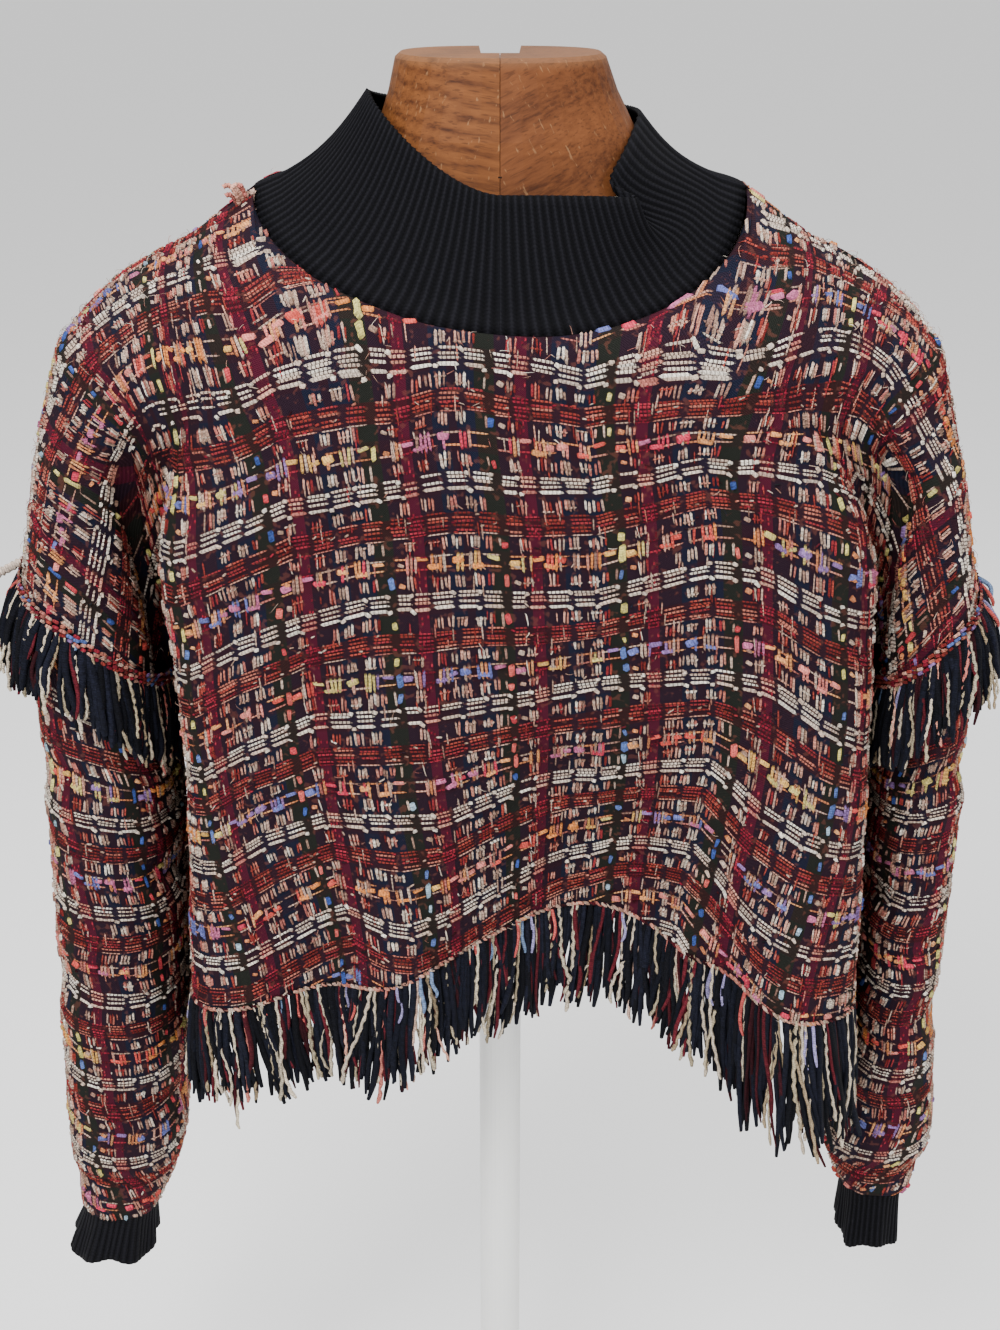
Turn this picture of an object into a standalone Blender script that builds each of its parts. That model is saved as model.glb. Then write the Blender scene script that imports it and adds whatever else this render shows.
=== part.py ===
"""Fringe sweater on a limbless dress form with an oak neck block.

Metres, +Z up.  The garment faces -Y, its wearer's left is +X, and the origin is on the
floor under the middle of the stand.  Heights in the tables are drops below the top of
the neck block, which is how such a form is measured.
"""
import math
from collections import namedtuple

import bmesh
import bpy
from mathutils import Vector

# Driving dimensions
TOP = 0.960                 # top of the neck block above the floor
TWEED = 0.0024              # wall of the slub tweed
RIB = 0.0028                # wall of the ribbed knit
FRINGE = 0.0040             # wall of the solid that a fringe fills
SEAM = 0.0003               # gap between pieces at a seam
LAP = 0.008                 # how far a sleeve, cuff or collar laps under the tweed
HEM_FRINGE_REACH = 0.066
HEM_FRINGE_ROWS = 2
ARM_FRINGE_REACH = 0.052

# How finely the cloth is divided
NECK_COLUMNS = 8            # from the front centre to the neck point
SHOULDER_COLUMNS = 4        # from the neck point to the fold beside the arm
ARM_COLUMNS = 9             # from that fold to the outside of the arm
YOKE_ROWS = 5               # from the shoulder line to the top of the arm fold
ARM_ROWS = 6                # from there to the underarm
SKIRT_ROWS = 6              # from the underarm to the hem
BODY_COLUMNS = NECK_COLUMNS + SHOULDER_COLUMNS
FINE = 40                   # points on a section before it is divided evenly

FRONT, BACK = -1, 1
RIGHT, LEFT = -1, 1         # the wearer's sides: right is -X

# The body of the sweater: level sections as rounded rectangles
BodyRing = namedtuple("BodyRing", "drop centre_x half_width front back squareness")
BODY_RINGS = (
    BodyRing(0.140, 0.004, 0.178, 0.101, 0.084, 2.6),
    BodyRing(0.187, 0.006, 0.182, 0.111, 0.096, 3.8),
    BodyRing(0.247, 0.009, 0.187, 0.112, 0.100, 5.5),
    BodyRing(0.330, 0.013, 0.184, 0.106, 0.098, 6.5),
    BodyRing(0.415, 0.014, 0.186, 0.100, 0.096, 6.5),
    BodyRing(0.510, 0.013, 0.188, 0.098, 0.096, 6.5),
)

# The arms: upper arm (part of front and back), sleeve and cuff, from shoulder to wrist.
# drop is taken on the outside; the inside of the ring hangs lower by its slant.
ArmRing = namedtuple("ArmRing", "drop outer inner centre_y half_depth slant")
RIGHT_ARM_RINGS = (
    ArmRing(0.144, 0.230, 0.168, 0.000, 0.064, 0.000),
    ArmRing(0.195, 0.243, 0.178, 0.000, 0.073, 0.012),
    ArmRing(0.284, 0.256, 0.183, 0.000, 0.080, 0.046),
    ArmRing(0.340, 0.258, 0.181, -0.003, 0.074, 0.034),
    ArmRing(0.415, 0.258, 0.179, -0.005, 0.066, 0.016),
    ArmRing(0.550, 0.263, 0.184, -0.004, 0.056, 0.006),
    ArmRing(0.640, 0.266, 0.192, -0.002, 0.046, 0.004),
    ArmRing(0.684, 0.263, 0.209, 0.000, 0.034, 0.004),
    ArmRing(0.718, 0.275, 0.212, 0.000, 0.036, 0.002),
)
LEFT_ARM_RINGS = (
    ArmRing(0.144, 0.229, 0.172, 0.000, 0.064, 0.000),
    ArmRing(0.195, 0.241, 0.192, 0.000, 0.074, 0.012),
    ArmRing(0.284, 0.255, 0.204, 0.000, 0.083, 0.044),
    ArmRing(0.340, 0.262, 0.207, 0.006, 0.078, 0.032),
    ArmRing(0.415, 0.264, 0.208, 0.010, 0.070, 0.014),
    ArmRing(0.550, 0.263, 0.207, 0.011, 0.060, 0.006),
    ArmRing(0.635, 0.268, 0.195, 0.006, 0.048, 0.004),
    ArmRing(0.668, 0.258, 0.206, 0.004, 0.035, 0.003),
    ArmRing(0.711, 0.257, 0.206, 0.004, 0.036, 0.002),
)
ARM_RINGS = {RIGHT: RIGHT_ARM_RINGS, LEFT: LEFT_ARM_RINGS}
ARM_SQUARENESS = 2.3
ARMHOLE_DROP = 0.284
SLEEVE_EASE = 0.0008        # extra room between lapped pieces
SLEEVE_ROWS = 10
SLEEVE_END = {RIGHT: 0.684, LEFT: 0.668}
CUFF_END = {RIGHT: 0.718, LEFT: 0.711}
CUFF_ROWS = 3
CUFF_WAVE = 0.0025
CUFF_WAVES = 4
ARM_FRINGE_ROWS = 3
ARM_FRINGE_FLARE = {RIGHT: 0.0158, LEFT: 0.0120}
FLARE_ALL_ROUND = 0.50      # share of the flare everywhere, and what is added to it
FLARE_OUTWARD = 0.75        # on the side away from the body
FLARE_FORE_AND_AFT = 0.35   # and at the front and back of the arm
YOKE_DROP = 0.144           # where the shoulder has turned down into the arm
YOKE_SQUARENESS = 2.7
FOLD_SETTLED = 0.45         # share of the way to the underarm where the fold is full
YOKE_ROUNDNESS = 0.65       # 0 slopes straight over the shoulder, 1 rolls over it
SHOULDER_STEPS = 2          # points on the shoulder line for each column
OUTER_STEPS = 3             # of those, the ones left for the outermost column to run down
FOLD_STARTS = 108.0         # degrees round the arm from outside where the body leaves it

# Shoulder line from the neck point out and down, in the seam plane
ShoulderPoint = namedtuple("ShoulderPoint", "x drop")
SHOULDER_LINE = (
    ShoulderPoint(0.1245, 0.0640),
    ShoulderPoint(0.1420, 0.0775),
    ShoulderPoint(0.1600, 0.0905),
    ShoulderPoint(0.1780, 0.0990),
    ShoulderPoint(0.1960, 0.1100),
    ShoulderPoint(0.2120, 0.1235),
    ShoulderPoint(0.2300, 0.1440),
)

# Broad folds that grow from their top drop to the hem: depth is outward
Fold = namedtuple("Fold", "face x half_width depth top")
FOLDS = (
    Fold(FRONT, 0.052, 0.112, -0.056, 0.250),
    Fold(FRONT, -0.055, 0.045, 0.007, 0.360),
    Fold(FRONT, -0.098, 0.045, -0.014, 0.330),
    Fold(FRONT, 0.158, 0.036, 0.009, 0.400),
    Fold(BACK, -0.060, 0.080, -0.018, 0.240),
    Fold(BACK, 0.075, 0.060, 0.012, 0.300),
    Fold(BACK, -0.135, 0.040, 0.008, 0.320),
)

# Hem: the drop of the tweed's edge, and how far the middle of each face rides up
HEM_DROP = 0.514
HEM_LIFT = {FRONT: 0.056, BACK: 0.010}
HEM_LIFT_X = 0.045
HEM_LIFT_WIDTH = {RIGHT: 0.170, LEFT: 0.100}

# Collar: seam ring and top ring, as ellipses
NECK_HALF_WIDTH = 0.1225
NECK_FRONT = 0.090
NECK_BACK = 0.072
NECK_SIDE_DROP = 0.0655
NECK_FRONT_DROP = 0.123
NECK_BACK_DROP = 0.054
NECK_EASE = 0.0018                  # extra room between the collar and the neck edge
NECK_TURN = math.radians(10)        # how far the low point sits to the wearer's left
COLLAR_TOP_HALF_WIDTH = {RIGHT: 0.0670, LEFT: 0.0715}
COLLAR_TOP_FRONT = 0.0650
COLLAR_TOP_BACK = 0.0620
COLLAR_TOP_FRONT_DROP = 0.0605
COLLAR_TOP_SIDE_DROP = {RIGHT: 0.0215, LEFT: 0.0290}
COLLAR_TOP_BACK_DROP = 0.0300
COLLAR_TOP_SQUARENESS = {RIGHT: 2.0, LEFT: 2.8}
COLLAR_RISE = {RIGHT: 1.6, LEFT: 3.0}      # higher keeps the edge low, then lifts it late
COLLAR_COLUMNS = 48
COLLAR_ROWS = 4
COLLAR_HOLLOW = 0.008               # how far the sides of the collar curve in

# Oak neck block, in two halves, and the torso below it
BlockRing = namedtuple("BlockRing", "drop right left front back")
BLOCK_RINGS = (
    BlockRing(0.0000, 0.0500, 0.0505, 0.0360, 0.0345),
    BlockRing(0.0022, 0.0525, 0.0532, 0.0385, 0.0370),
    BlockRing(0.0180, 0.0560, 0.0590, 0.0440, 0.0400),
    BlockRing(0.0380, 0.0625, 0.0690, 0.0515, 0.0440),
)
BLOCK_BASE = BlockRing(0.0540, 0.0720, 0.0770, 0.0585, 0.0490)
BLOCK_SQUARENESS = 2.5
NECK_SLOPE = 0.22                   # the neck joint falls towards the front
BLOCK_COLUMNS = 40
NOTCH_DEPTH = 0.0050
NOTCH_BACK_HALF_WIDTH = 0.016
NOTCH_FLOOR_HALF_WIDTH = 0.0095
NOTCH_FRONT_Y = -0.008
CUTTER_REACH = 0.2                  # well clear of the block on every side

# front_fall is how much lower a ring of the torso lies at its front
TorsoRing = namedtuple("TorsoRing", "drop half_width front back squareness front_fall")
TORSO_RINGS = (
    TorsoRing(0.0760, 0.1030, 0.0660, 0.0540, 2.1, 0.0400),
    TorsoRing(0.0880, 0.1360, 0.0780, 0.0640, 2.1, 0.0420),
    TorsoRing(0.1070, 0.1620, 0.0860, 0.0700, 2.2, 0.0340),
    TorsoRing(0.1310, 0.1740, 0.0920, 0.0760, 2.3, 0.0220),
    TorsoRing(0.1650, 0.1640, 0.0980, 0.0820, 2.4, 0.0060),
    TorsoRing(0.2100, 0.1540, 0.1020, 0.0860, 2.5, 0.0000),
    TorsoRing(0.2600, 0.1500, 0.0980, 0.0870, 2.5, 0.0000),
    TorsoRing(0.3100, 0.1430, 0.0840, 0.0800, 2.4, 0.0000),
    TorsoRing(0.3550, 0.1350, 0.0640, 0.0740, 2.4, 0.0000),
    TorsoRing(0.3720, 0.1330, 0.0580, 0.0720, 2.4, 0.0000),
    TorsoRing(0.3780, 0.1270, 0.0520, 0.0660, 2.4, 0.0000),
)

ROUND_SIDES = 32
FITTING_RADIUS = 0.0065
FITTING_Y = 0.004
FITTING_HEIGHT = 0.0022
POLE_RADIUS = 0.0125
POLE_Y = 0.006
PLATE_RADIUS = 0.045
PLATE_THICKNESS = 0.005
BASE_RADIUS = 0.150
BASE_THICKNESS = 0.010
SOCKET_RADIUS = 0.020
SOCKET_HEIGHT = 0.045
EDGE_BEVEL = {"plate": 0.001, "pole": 0.0005, "socket": 0.002, "base": 0.002, "fitting": 0.0004}

# Colours
TWEED_COLOUR = (0.13, 0.05, 0.06)
RIB_COLOUR = (0.012, 0.013, 0.022)
FRINGE_COLOUR = (0.04, 0.03, 0.05)
OAK_COLOUR = (0.30, 0.13, 0.04)
LINEN_COLOUR = (0.50, 0.44, 0.36)
PAINT_COLOUR = (0.72, 0.71, 0.69)
STEEL_COLOUR = (0.05, 0.05, 0.055)


# Numbers between the rows of a table

def smooth(value):
    """Ease from 0 to 1, held flat outside that range."""
    value = min(1.0, max(0.0, value))
    return value * value * (3.0 - 2.0 * value)


def mix(a, b, share):
    return a + (b - a) * share


def table_row(table, drop):
    """The table's row at any drop, on a smooth curve through its own rows."""
    last = len(table) - 1
    at = 0
    while at < last - 1 and drop > table[at + 1].drop:
        at += 1
    low, high = table[at], table[at + 1]
    before, after = table[max(0, at - 1)], table[min(last, at + 2)]
    span = high.drop - low.drop
    share = min(1.0, max(0.0, (drop - low.drop) / span))
    values = []
    for a, b, c, d in zip(before, low, high, after):
        slope_b = (c - a) / (high.drop - before.drop) * span
        slope_c = (d - b) / (after.drop - low.drop) * span
        s, s2, s3 = share, share ** 2, share ** 3
        values.append((2 * s3 - 3 * s2 + 1) * b + (s3 - 2 * s2 + s) * slope_b
                      + (3 * s2 - 2 * s3) * c + (s3 - s2) * slope_c)
    return type(low)(*values)._replace(drop=drop)


def rounded(angle, squareness):
    """Where a ray at this angle meets a unit circle drawn out towards a square."""
    cosine, sine = math.cos(angle), math.sin(angle)
    size = (abs(cosine) ** squareness + abs(sine) ** squareness) ** (-1.0 / squareness)
    return cosine * size, sine * size


def divide(points, count):
    """The same path with count equal steps."""
    lengths = [0.0]
    for a, b in zip(points, points[1:]):
        lengths.append(lengths[-1] + (b - a).length)
    path = []
    at = 0
    for step in range(count + 1):
        goal = lengths[-1] * step / count
        while at < len(points) - 2 and lengths[at + 1] < goal:
            at += 1
        span = lengths[at + 1] - lengths[at]
        path.append(points[at].lerp(points[at + 1], (goal - lengths[at]) / span if span else 0.0))
    return path


# The sweater's form

def arm_point(side, drop, angle, inset=0.0):
    """A point round the arm: angle 0 outside, -90 degrees front, 180 inside."""
    ring = table_row(ARM_RINGS[side], drop)
    cosine, sine = rounded(angle, ARM_SQUARENESS)
    half_width = (ring.outer - ring.inner) / 2 - inset
    x = (ring.outer + ring.inner) / 2 + half_width * cosine
    y = ring.centre_y + (ring.half_depth - inset) * sine
    fall = ring.slant * ((1.0 - math.cos(angle)) / 2) ** 3
    return Vector((side * x, y, TOP - drop - fall))


def fold_offset(face, x, drop):
    """How far the broad folds move the cloth out at this place."""
    out = 0.0
    for fold in FOLDS:
        reach = abs(x - fold.x) / fold.half_width
        if fold.face == face and reach < 1.0:
            growth = smooth((drop - fold.top) / (HEM_DROP - fold.top))
            out += fold.depth * growth * math.cos(reach * math.pi / 2) ** 2
    return out


def hem_drop(face, x):
    away = (x - HEM_LIFT_X) / HEM_LIFT_WIDTH[LEFT if x > HEM_LIFT_X else RIGHT]
    return HEM_DROP - HEM_LIFT[face] * math.exp(-away * away)


def body_path(side, face, drop, end_y):
    """Half a level section of the body, from the middle until it is end_y deep."""
    ring = table_row(BODY_RINGS, drop)
    depth = ring.front if face == FRONT else ring.back
    cosine = end_y / depth
    end = math.atan2((1.0 - cosine ** ring.squareness) ** (1.0 / ring.squareness), cosine)
    points = []
    for step in range(FINE + 1):
        cosine, sine = rounded(end * step / FINE, ring.squareness)
        x = ring.centre_x + side * ring.half_width * sine
        deep = cosine * (depth + fold_offset(face, x, drop))
        points.append(Vector((x, face * deep, TOP - drop)))
    return points


def fold_angle(face, share):
    """Where the fold beside the arm leaves the arm's ring, from its front to its inside."""
    return face * math.radians(mix(FOLD_STARTS, 180.0, smooth(share)))


def section(side, face, share):
    """Half a section from the middle to the outside of the arm; share 0 yoke, 1 underarm."""
    outer_drop = mix(YOKE_DROP, ARMHOLE_DROP, share)
    arm_ring = table_row(ARM_RINGS[side], outer_drop)
    body_drop = outer_drop + arm_ring.slant
    turn = fold_angle(face, share)
    arm = [arm_point(side, outer_drop, turn * (1.0 - step / FINE)) for step in range(FINE + 1)]
    body = divide(body_path(side, face, body_drop, abs(arm[0].y)), BODY_COLUMNS)
    arm = divide(arm, ARM_COLUMNS)
    arm[-1].y = 0.0
    settle = smooth(share / FOLD_SETTLED)
    return [plain.lerp(folded, settle)
            for plain, folded in zip(plain_section(side, face, body_drop), body + arm)]


def plain_section(side, face, drop):
    """The same section where the fold has not begun, one rounded sweep to the arm."""
    body = table_row(BODY_RINGS, drop)
    outer = table_row(ARM_RINGS[side], min(drop, ARMHOLE_DROP)).outer
    depth = body.front if face == FRONT else body.back
    points = []
    for step in range(FINE + 1):
        cosine, sine = rounded(math.pi / 2 * step / FINE, YOKE_SQUARENESS)
        points.append(Vector((side * outer * sine, face * depth * cosine, TOP - drop)))
    return divide(points, BODY_COLUMNS + ARM_COLUMNS + 1)


def neck_point(angle, outward=0.0):
    """The seam under the collar: angle 0 at the front, positive to the wearer's left."""
    turned = angle - NECK_TURN * math.cos(angle)
    x = (NECK_HALF_WIDTH + outward) * math.sin(angle)
    facing = math.cos(angle)
    depth = NECK_FRONT if facing > 0 else NECK_BACK
    y = -(depth + outward) * facing
    if facing > 0:
        drop = mix(NECK_SIDE_DROP, NECK_FRONT_DROP, max(0.0, math.cos(turned)))
    else:
        drop = mix(NECK_SIDE_DROP, NECK_BACK_DROP, -facing)
    return Vector((x, y, TOP - drop))


def top_edge(side, face):
    """A panel's upper edge: round the neck, then along the shoulder line."""
    middle = 0.0 if face == FRONT else math.pi
    outward = TWEED + SEAM + NECK_EASE
    neck = []
    for step in range(FINE + 1):
        angle = side * mix(middle, math.pi / 2, step / FINE)
        neck.append(neck_point(angle, outward))
    line = [Vector((side * point.x, 0.0, TOP - point.drop)) for point in SHOULDER_LINE]
    line[0] = neck[-1]
    outer = ARM_RINGS[side][0].outer
    line[-1] = Vector((side * outer, 0.0, TOP - YOKE_DROP))
    columns = SHOULDER_COLUMNS + ARM_COLUMNS + 1
    line = divide(line, columns * SHOULDER_STEPS)
    shoulder = divide(line[:-OUTER_STEPS], columns)
    return divide(neck, NECK_COLUMNS)[:-1] + shoulder


def yoke_rows(side, face):
    """From the upper edge, over the shoulder, to the first section of the fold."""
    top, bottom = top_edge(side, face), section(side, face, 0.0)
    rows = []
    for row in range(YOKE_ROWS):
        angle = math.pi / 2 * row / YOKE_ROWS
        over = mix(row / YOKE_ROWS, math.sin(angle), YOKE_ROUNDNESS)
        down = mix(row / YOKE_ROWS, 1.0 - math.cos(angle), YOKE_ROUNDNESS)
        rows.append([Vector((mix(a.x, b.x, down), mix(a.y, b.y, over), mix(a.z, b.z, down)))
                     for a, b in zip(top, bottom)])
    return rows


def skirt_rows(side, face):
    """From the underarm to the hem, row by row."""
    start = section(side, face, 1.0)[0].z
    rows = []
    for row in range(1, SKIRT_ROWS + 1):
        level = mix(TOP - start, HEM_DROP, row / SKIRT_ROWS)
        path = divide(body_path(side, face, level, 0.0), BODY_COLUMNS)
        for point in path:
            low = TOP - hem_drop(face, point.x)
            point.z = mix(start, low, row / SKIRT_ROWS)
        rows.append(path)
    return rows


# Meshes and objects

def add_grid(mesh, rows, face):
    """Faces between rows that run from the wearer's right to left, facing out."""
    vertices = [[mesh.verts.new(point) for point in row] for row in rows]
    for upper, lower in zip(vertices, vertices[1:]):
        for a, b, c, d in zip(upper, upper[1:], lower[1:], lower):
            mesh.faces.new((d, c, b, a) if face == FRONT else (a, b, c, d))


def across(right_rows, left_rows):
    """Whole rows from two halves that both start at the middle."""
    return [right[::-1] + left[1:] for right, left in zip(right_rows, left_rows)]


def finish_mesh(name, mesh, colour, roughness, metallic=0.0, smooth_angle=40.0):
    """A named object from a bmesh, with its own material."""
    data = bpy.data.meshes.new(name)
    mesh.to_mesh(data)
    mesh.free()
    data.shade_smooth()
    data.set_sharp_from_angle(angle=math.radians(smooth_angle))
    return add_object(name, data, colour, roughness, metallic)


def add_object(name, data, colour, roughness, metallic=0.0):
    material = bpy.data.materials.new(name)
    material.use_nodes = True
    shader = material.node_tree.nodes["Principled BSDF"]
    shader.inputs["Base Color"].default_value = (*colour, 1.0)
    shader.inputs["Roughness"].default_value = roughness
    shader.inputs["Metallic"].default_value = metallic
    data.materials.append(material)
    item = bpy.data.objects.new(name, data)
    parts.objects.link(item)
    return item


def thicken(mesh, wall):
    """Give an open surface a wall, on its inner side."""
    bmesh.ops.remove_doubles(mesh, verts=mesh.verts, dist=1e-6)
    bmesh.ops.solidify(mesh, geom=mesh.faces[:], thickness=wall)


def keep_to_seam_plane(mesh, face):
    """Front and back meet at y = 0: their rims lie in that plane, half a seam gap clear."""
    for vertex in mesh.verts:
        vertex.co.y = face * (max(0.0, vertex.co.y * face) + SEAM / 2)


def add_panel(name, face):
    """The front or the back, with its half of each upper arm, as one cut piece."""
    mesh = bmesh.new()
    halves = []
    for side in (RIGHT, LEFT):
        arms = [section(side, face, row / ARM_ROWS) for row in range(ARM_ROWS + 1)]
        halves.append(yoke_rows(side, face) + arms)
    rows = across(*halves)
    add_grid(mesh, rows, face)
    body = rows[-1][ARM_COLUMNS + 1:-ARM_COLUMNS - 1]
    add_grid(mesh, [body] + across(skirt_rows(RIGHT, face), skirt_rows(LEFT, face)), face)
    thicken(mesh, TWEED)
    keep_to_seam_plane(mesh, face)
    return finish_mesh(name, mesh, TWEED_COLOUR, 0.9)


def add_tube(name, rings, wall, colour, roughness):
    """A hollow tube of cloth through closed rings of points, open at both ends."""
    mesh = bmesh.new()
    vertices = [[mesh.verts.new(point) for point in ring] for ring in rings]
    count = len(rings[0])
    for upper, lower in zip(vertices, vertices[1:]):
        for at in range(count):
            ahead = (at + 1) % count
            mesh.faces.new((upper[at], lower[at], lower[ahead], upper[ahead]))
    thicken(mesh, wall)
    return finish_mesh(name, mesh, colour, roughness)


def add_stack(name, rings, colour, roughness):
    """A closed solid through a stack of rings, top first."""
    mesh = bmesh.new()
    vertices = [[mesh.verts.new(point) for point in ring] for ring in rings]
    count = len(rings[0])
    for upper, lower in zip(vertices, vertices[1:]):
        for at in range(count):
            ahead = (at + 1) % count
            mesh.faces.new((upper[at], lower[at], lower[ahead], upper[ahead]))
    mesh.faces.new(vertices[0])
    mesh.faces.new(vertices[-1][::-1])
    return finish_mesh(name, mesh, colour, roughness)


def arm_ring(side, drop, inset):
    """A whole ring round the arm, counter-clockwise from above."""
    ring = []
    for start in (0.0, math.pi):
        half = [arm_point(side, drop, start + math.pi * step / FINE, inset)
                for step in range(FINE + 1)]
        ring += divide(half, ARM_COLUMNS)[:-1]
    return ring if side == LEFT else ring[::-1]


def add_sleeve(name, side):
    """The lower sleeve, set just inside the armhole edge."""
    inset = TWEED + SEAM + SLEEVE_EASE
    start, end = ARMHOLE_DROP + SEAM, SLEEVE_END[side]
    rings = [arm_ring(side, mix(start, end, row / SLEEVE_ROWS), inset)
             for row in range(SLEEVE_ROWS + 1)]
    return add_tube(name, rings, TWEED, TWEED_COLOUR, 0.9)


def add_cuff(name, side):
    """The ribbed cuff, lapped inside the sleeve, its free edge gently waved."""
    inset = 2 * (TWEED + SEAM + SLEEVE_EASE)
    start, end = SLEEVE_END[side] - LAP, CUFF_END[side]
    rings = []
    for row in range(CUFF_ROWS + 1):
        share = row / CUFF_ROWS
        ring = arm_ring(side, mix(start, end, share), inset)
        for at, point in enumerate(ring):
            turn = 2 * math.pi * at / len(ring)
            point.z += CUFF_WAVE * share ** 2 * math.cos(CUFF_WAVES * turn)
        rings.append(ring)
    return add_tube(name, rings, RIB, RIB_COLOUR, 0.85)


def add_arm_fringe(name, side):
    """The reach of the raw fringe below the armhole edge, flaring away from the body."""
    rings = []
    for row in range(ARM_FRINGE_ROWS + 1):
        share = row / ARM_FRINGE_ROWS
        drop = ARMHOLE_DROP + 2 * SEAM + ARM_FRINGE_REACH * share
        outside = arm_ring(side, drop, -FRINGE)
        middle = sum(outside, Vector()) / len(outside)
        ring = []
        for point in outside:
            away = Vector((point.x - middle.x, point.y - middle.y, 0.0)).normalized()
            free = smooth(FLARE_ALL_ROUND + FLARE_OUTWARD * side * away.x
                          + FLARE_FORE_AND_AFT * abs(away.y))
            ring.append(point + away * ARM_FRINGE_FLARE[side] * free * share)
        rings.append(ring)
    return add_tube(name, rings, FRINGE, FRINGE_COLOUR, 0.95)


def add_hem_fringe(name, face):
    """The reach of the raw fringe below the hem, a wall that goes on from the panel."""
    mesh = bmesh.new()
    above, hem = across(skirt_rows(RIGHT, face), skirt_rows(LEFT, face))[-2:]
    rows = []
    for row in range(HEM_FRINGE_ROWS + 1):
        reach = 2 * SEAM + HEM_FRINGE_REACH * row / HEM_FRINGE_ROWS
        rows.append([low + (low - high).normalized() * reach for high, low in zip(above, hem)])
    add_grid(mesh, rows, face)
    thicken(mesh, FRINGE)
    keep_to_seam_plane(mesh, face)
    return finish_mesh(name, mesh, FRINGE_COLOUR, 0.95)


def collar_point(angle, share):
    """A point on the collar: angle as for neck_point, share 0 at the seam, 1 at the top."""
    low = neck_point(angle)
    facing, sideways = math.cos(angle), math.sin(angle)
    side = LEFT if sideways > 0 else RIGHT
    cosine, sine = rounded(angle, COLLAR_TOP_SQUARENESS[side])
    depth = COLLAR_TOP_FRONT if facing > 0 else COLLAR_TOP_BACK
    rise = abs(sideways) ** COLLAR_RISE[side]
    side_drop = COLLAR_TOP_SIDE_DROP[side]
    if facing > 0:
        drop = mix(COLLAR_TOP_FRONT_DROP, side_drop, rise)
    else:
        drop = mix(side_drop, COLLAR_TOP_BACK_DROP, -facing)
    high = Vector((COLLAR_TOP_HALF_WIDTH[side] * sine, -depth * cosine, TOP - drop))
    hollow = COLLAR_HOLLOW * abs(sideways) * math.sin(math.pi * share)
    point = low.lerp(high, share)
    return point - Vector((math.copysign(hollow, sideways), 0.0, hollow))


def add_collar():
    """The ribbed funnel collar, lapped inside the neck edge."""
    rings = []
    for row in range(COLLAR_ROWS + 1):
        share = 1.0 - row / COLLAR_ROWS
        rings.append([collar_point(-2 * math.pi * at / COLLAR_COLUMNS, share)
                      for at in range(COLLAR_COLUMNS)][::-1])
    return add_tube("collar", rings, RIB, RIB_COLOUR, 0.85)


def block_outline(ring):
    """A level outline of the neck block, with its own width on each side."""
    points = []
    for at in range(BLOCK_COLUMNS):
        cosine, sine = rounded(2 * math.pi * at / BLOCK_COLUMNS, BLOCK_SQUARENESS)
        x = cosine * (ring.left if cosine > 0 else ring.right)
        y = sine * (ring.back if sine > 0 else ring.front)
        points.append(Vector((x, y, TOP - ring.drop)))
    return points


def neck_joint(points, lower=0.0):
    """Tilt a level outline so that it falls towards the front."""
    return [Vector((point.x, point.y, point.z + NECK_SLOPE * point.y - lower)) for point in points]


def add_cutter(name, corners, low, high):
    """A prism with the given corners in plan, hidden, for a Boolean to take away."""
    mesh = bmesh.new()
    floor = [mesh.verts.new((x, y, low)) for x, y in corners]
    roof = [mesh.verts.new((x, y, high)) for x, y in corners]
    mesh.faces.new(floor[::-1])
    mesh.faces.new(roof)
    for at in range(len(corners)):
        ahead = (at + 1) % len(corners)
        mesh.faces.new((floor[at], floor[ahead], roof[ahead], roof[at]))
    data = bpy.data.meshes.new(name)
    mesh.to_mesh(data)
    mesh.free()
    item = bpy.data.objects.new(name, data)
    item.hide_render = True
    item.display_type = "WIRE"
    cutters.objects.link(item)
    return item


def cut(item, cutter):
    boolean = item.modifiers.new(cutter.name, "BOOLEAN")
    boolean.operation = "DIFFERENCE"
    boolean.object = cutter


def add_neck_block():
    """Two oak halves, split front to back, with a shallow notch in the top."""
    notch = add_cutter("notch_cutter", [
        (-NOTCH_FLOOR_HALF_WIDTH, NOTCH_FRONT_Y), (NOTCH_FLOOR_HALF_WIDTH, NOTCH_FRONT_Y),
        (NOTCH_BACK_HALF_WIDTH, CUTTER_REACH), (-NOTCH_BACK_HALF_WIDTH, CUTTER_REACH)],
        TOP - NOTCH_DEPTH, TOP + CUTTER_REACH)
    rings = [block_outline(ring) for ring in BLOCK_RINGS] + [neck_joint(block_outline(BLOCK_BASE))]
    for name, side in (("neck_block_right", RIGHT), ("neck_block_left", LEFT)):
        half = add_stack(name, rings, OAK_COLOUR, 0.45)
        edge = side * SEAM / 2
        other = add_cutter(name + "_cutter", corners_between(edge, -side * CUTTER_REACH),
                           0.0, TOP + CUTTER_REACH)
        cut(half, other)
        cut(half, notch)


def corners_between(x_a, x_b):
    """Corners of a rectangle between two x values, counter-clockwise from above."""
    low, high = min(x_a, x_b), max(x_a, x_b)
    near, far = -CUTTER_REACH, CUTTER_REACH
    return [(low, near), (high, near), (high, far), (low, far)]


def add_torso():
    """The covered form under the sweater, from the neck joint to its waist."""
    rings = [neck_joint(block_outline(BLOCK_BASE), lower=SEAM)]
    for row in TORSO_RINGS:
        outline = []
        for at in range(BLOCK_COLUMNS):
            cosine, sine = rounded(2 * math.pi * at / BLOCK_COLUMNS, row.squareness)
            depth = row.back if sine > 0 else row.front
            low = row.drop + row.front_fall * max(0.0, -sine)
            outline.append(Vector((row.half_width * cosine, depth * sine, TOP - low)))
        rings.append(outline)
    return add_stack("form_torso", rings, LINEN_COLOUR, 0.9)


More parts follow.
